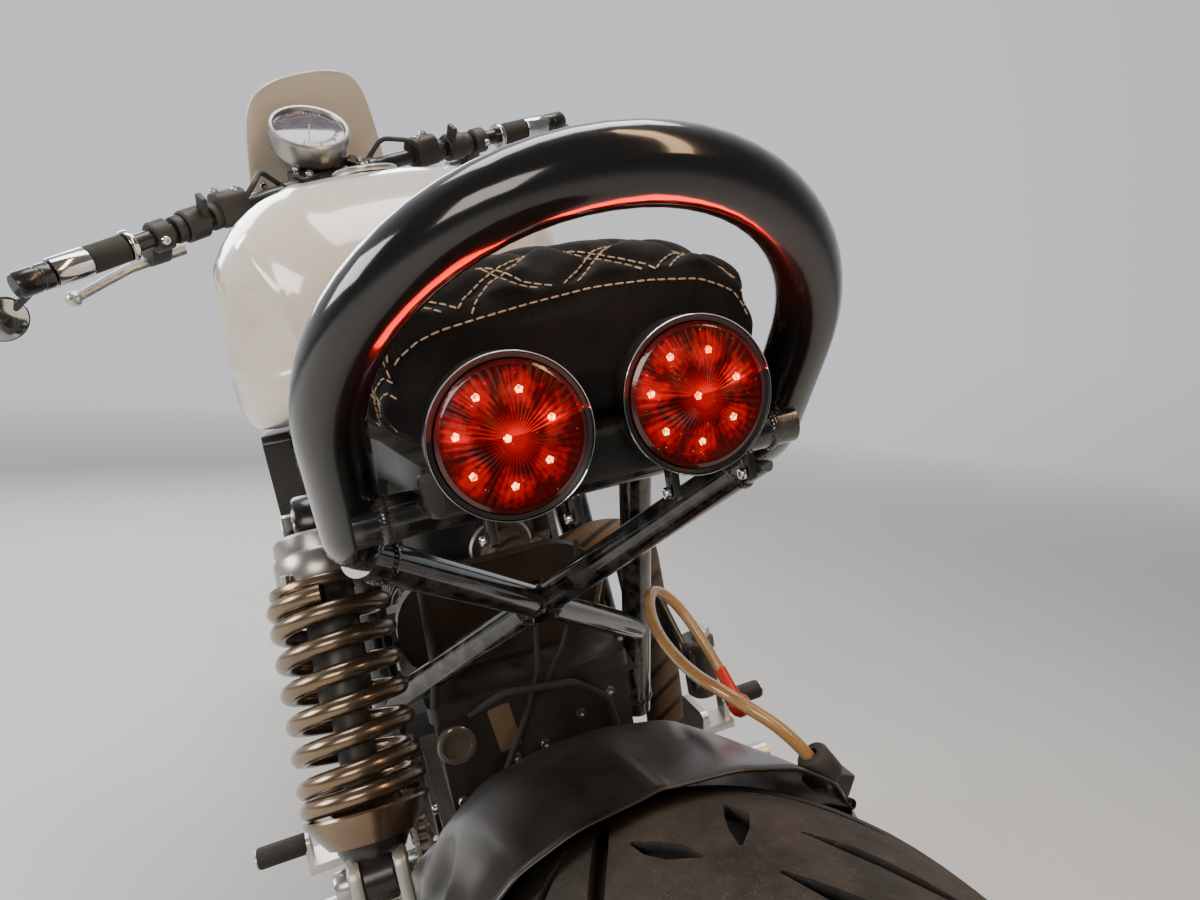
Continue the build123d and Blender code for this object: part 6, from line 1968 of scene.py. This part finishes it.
def make_headlamp():
    """Round headlamp in a black bowl with a bright rim."""
    way = shift(90, 0, 960) @ swung(QUARTER, "Y")
    bowl = turned([(0, 0), (20, 0), (44, 4), (66, 18), (79, 40), (84, 66), (84, 92), (82, 95), (79, 95),
                   (78, 84), (40, 70), (0, 66)], 80)
    steered("headlamp_bowl", [(bowl, way)], "gloss_black", ("headlamp",))
    rim = turned([(78.6, 88), (80, 95.4), (82.6, 96), (84.4, 93), (84.4, 88)], 80)
    steered("headlamp_rim", [(rim, way)], "lamp_chrome")
    glass = turned([(78.7, 92), (60, 94), (30, 95.4), (0, 95.8)], 72)
    steered("headlamp_glass", [(glass, way)], "clear_lens", ("headlamp_lens",))
    ear = plate([(FORK_OFFSET - 2, 942), (150, 942), (150, 978), (FORK_OFFSET - 2, 978)], 6, 8, 1)
    steered("headlamp_ears", both([(ear, side_on(90))]), "gloss_black")
    steered("headlamp_bolts", both(bolts_at([(138, 90, 960)], (0, 1, 0), 1.6)), "steel")


def make_stand_and_pegs():
    """Side stand, its bracket, foot pegs and toe pegs."""
    refined("side_stand", "gloss_black", 1.5)
    refined("stand_bracket", "gloss_black", 0.8)
    refined("rearsets", "alloy", 1.0)
    refined("side_scoops", "gloss_black", 2.0)
    knurl = turned([(10.6, 0)] + [(11.6 - (n % 2) * 0.9, 3 + n * 3) for n in range(22)] + [(10.6, 70)], 10)
    piece("peg_grips", both([(knurl, across(502, 350, 168))]), "steel")
    toe = turned([(8, 0), (9, 1.5), (9, 38), (8, 40), (0, 40)], 20)
    piece("toe_peg_rubbers", both([(toe, across(496, 424, 199))]), "grip_rubber")
    points = [(470, 165, 424), (492, 165, 404), (500, 165, 338)]
    piece("peg_bolts", both(bolts_at(points, (0, 1, 0))), "steel")


# Add-on

def length(name, description, default, low, high):
    return bpy.props.FloatProperty(name=name, description=description, default=default, min=low, max=high,
                                   unit="LENGTH", precision=4)


def colour(name, description, default):
    return bpy.props.FloatVectorProperty(name=name, description=description, default=default, min=0, max=1,
                                         subtype="COLOR")


class CafeRacerSettings(bpy.types.PropertyGroup):
    """Sizes and colours that a user may change."""
    wire_diameter: length("Spring wire", "Thickness of the coil spring's wire", 0.0112, 0.006, 0.014)
    quilt_pitch: length("Quilt pitch", "Width of the seat's sewn diamonds", 0.0435, 0.03, 0.12)
    stitch_length: length("Stitch length", "Distance from one stitch to the next", 0.0047, 0.003, 0.01)
    tread_depth: length("Tread depth", "Depth of the tyres' grooves", 0.0052, 0.001, 0.008)
    frame_colour: colour("Frame", "Colour of the hoop and frame tubes", (0.0045, 0.0042, 0.0040))
    paint_colour: colour("Paint", "Colour of the tank and flyscreen", (0.72, 0.64, 0.54))
    spring_colour: colour("Spring", "Colour of the coil spring and its cups", (0.27, 0.19, 0.122))
    seat_colour: colour("Seat", "Colour of the seat's suede", (0.010, 0.0095, 0.0095))
    stitch_colour: colour("Stitches", "Colour of the seat's thread", (0.72, 0.52, 0.35))
    tyre_colour: colour("Tyre", "Colour of the rubber", (0.022, 0.0185, 0.0155))
    lamp_colour: colour("Tail lamps", "Colour of the lit lenses", (1.0, 0.0, 0.0))
    lamp_glow: bpy.props.FloatProperty(
        name="Lamp glow", description="Brightness of the lit tail lamps", default=0.5, min=0, max=20)
    floor_colour: colour("Floor", "Colour of the studio floor", (0.62, 0.61, 0.59))


class CAFE_OT_finishes(bpy.types.Operator):
    """Make every finish of the machine"""
    bl_idname = "cafe_racer.finishes"
    bl_label = "Finishes"

    def execute(self, context):
        make_finishes()
        return {"FINISHED"}


class CAFE_OT_stage(bpy.types.Operator):
    """Add the studio floor, the lights and the camera"""
    bl_idname = "cafe_racer.stage"
    bl_label = "Stage"

    def execute(self, context):
        make_stage()
        return {"FINISHED"}


class CAFE_OT_hose(bpy.types.Operator):
    """Add the rear brake hose with its clip and ends"""
    bl_idname = "cafe_racer.hose"
    bl_label = "Rear brake hose"

    def execute(self, context):
        make_hose()
        return {"FINISHED"}


class CAFE_OT_tail(bpy.types.Operator):
    """Add the hoop, the crossed brace and the tail panel"""
    bl_idname = "cafe_racer.tail"
    bl_label = "Tail frame"

    def execute(self, context):
        make_tail_frame()
        make_tail_panel()
        return {"FINISHED"}


class CAFE_OT_lamps(bpy.types.Operator):
    """Add the two round tail lamps"""
    bl_idname = "cafe_racer.lamps"
    bl_label = "Tail lamps"

    def execute(self, context):
        make_lamps()
        return {"FINISHED"}


class CAFE_OT_seat(bpy.types.Operator):
    """Add the quilted seat with its stitches"""
    bl_idname = "cafe_racer.seat"
    bl_label = "Seat"

    def execute(self, context):
        make_seat()
        return {"FINISHED"}


class CAFE_OT_tank(bpy.types.Operator):
    """Add the painted tank and its cap"""
    bl_idname = "cafe_racer.tank"
    bl_label = "Tank"

    def execute(self, context):
        make_tank()
        return {"FINISHED"}


class CAFE_OT_suspension(bpy.types.Operator):
    """Add the shock and the swing arm"""
    bl_idname = "cafe_racer.suspension"
    bl_label = "Shock and swing arm"

    def execute(self, context):
        make_shock()
        make_swing_arm()
        return {"FINISHED"}


class CAFE_OT_rear_wheel(bpy.types.Operator):
    """Add the rear wheel, its tyre, disc and sprocket, and the chain"""
    bl_idname = "cafe_racer.rear_wheel"
    bl_label = "Rear wheel and chain"

    def execute(self, context):
        make_rear_wheel()
        make_chain()
        return {"FINISHED"}


class CAFE_OT_mudguard(bpy.types.Operator):
    """Add the rear mudguard and the rear brake"""
    bl_idname = "cafe_racer.mudguard"
    bl_label = "Mudguard and rear brake"

    def execute(self, context):
        make_hugger()
        make_rear_brake()
        return {"FINISHED"}


class CAFE_OT_frame(bpy.types.Operator):
    """Add the tubular main frame"""
    bl_idname = "cafe_racer.frame"
    bl_label = "Frame"

    def execute(self, context):
        make_trellis()
        return {"FINISHED"}


class CAFE_OT_engine(bpy.types.Operator):
    """Add the engine, its covers and the exhaust"""
    bl_idname = "cafe_racer.engine"
    bl_label = "Engine and exhaust"

    def execute(self, context):
        make_engine()
        make_exhaust()
        return {"FINISHED"}


class CAFE_OT_fork(bpy.types.Operator):
    """Add the fork, the yokes, the front mudguard and the front brakes"""
    bl_idname = "cafe_racer.fork"
    bl_label = "Fork and yokes"

    def execute(self, context):
        make_fork()
        return {"FINISHED"}


class CAFE_OT_bars(bpy.types.Operator):
    """Add the handlebar with its controls and mirrors"""
    bl_idname = "cafe_racer.bars"
    bl_label = "Handlebar and controls"

    def execute(self, context):
        make_bars()
        return {"FINISHED"}


class CAFE_OT_front_wheel(bpy.types.Operator):
    """Add the front wheel, its tyre and discs"""
    bl_idname = "cafe_racer.front_wheel"
    bl_label = "Front wheel"

    def execute(self, context):
        make_front_wheel()
        return {"FINISHED"}


class CAFE_OT_instruments(bpy.types.Operator):
    """Add the gauge, the flyscreen and the headlamp"""
    bl_idname = "cafe_racer.instruments"
    bl_label = "Gauge, flyscreen and headlamp"

    def execute(self, context):
        make_gauge()
        make_screen()
        make_headlamp()
        return {"FINISHED"}


class CAFE_OT_stand(bpy.types.Operator):
    """Add the side stand, the foot pegs and the side scoops"""
    bl_idname = "cafe_racer.stand"
    bl_label = "Stand and pegs"

    def execute(self, context):
        make_stand_and_pegs()
        return {"FINISHED"}


OPERATORS = (CAFE_OT_finishes, CAFE_OT_stage, CAFE_OT_hose, CAFE_OT_tail, CAFE_OT_lamps, CAFE_OT_seat,
             CAFE_OT_tank, CAFE_OT_suspension, CAFE_OT_rear_wheel, CAFE_OT_mudguard, CAFE_OT_frame,
             CAFE_OT_engine, CAFE_OT_fork, CAFE_OT_bars, CAFE_OT_front_wheel, CAFE_OT_instruments,
             CAFE_OT_stand)


class CAFE_PT_panel(bpy.types.Panel):
    """Pieces and settings of the cafe racer"""
    bl_label = "Cafe racer"
    bl_idname = "CAFE_PT_panel"
    bl_space_type = "VIEW_3D"
    bl_region_type = "UI"
    bl_category = "Cafe racer"

    def draw(self, context):
        settings = context.scene.cafe_racer
        column = self.layout.column()
        for name in CafeRacerSettings.__annotations__:
            column.prop(settings, name)
        for operator in OPERATORS:
            column.operator(operator.bl_idname)


def register():
    for item in (CafeRacerSettings, *OPERATORS, CAFE_PT_panel):
        bpy.utils.register_class(item)
    bpy.types.Scene.cafe_racer = bpy.props.PointerProperty(type=CafeRacerSettings)


def unregister():
    del bpy.types.Scene.cafe_racer
    for item in reversed((CafeRacerSettings, *OPERATORS, CAFE_PT_panel)):
        bpy.utils.unregister_class(item)


def main():
    register()
    for operator in OPERATORS:
        family, name = operator.bl_idname.split(".")
        getattr(getattr(bpy.ops, family), name)()


if __name__ == "__main__":
    main()
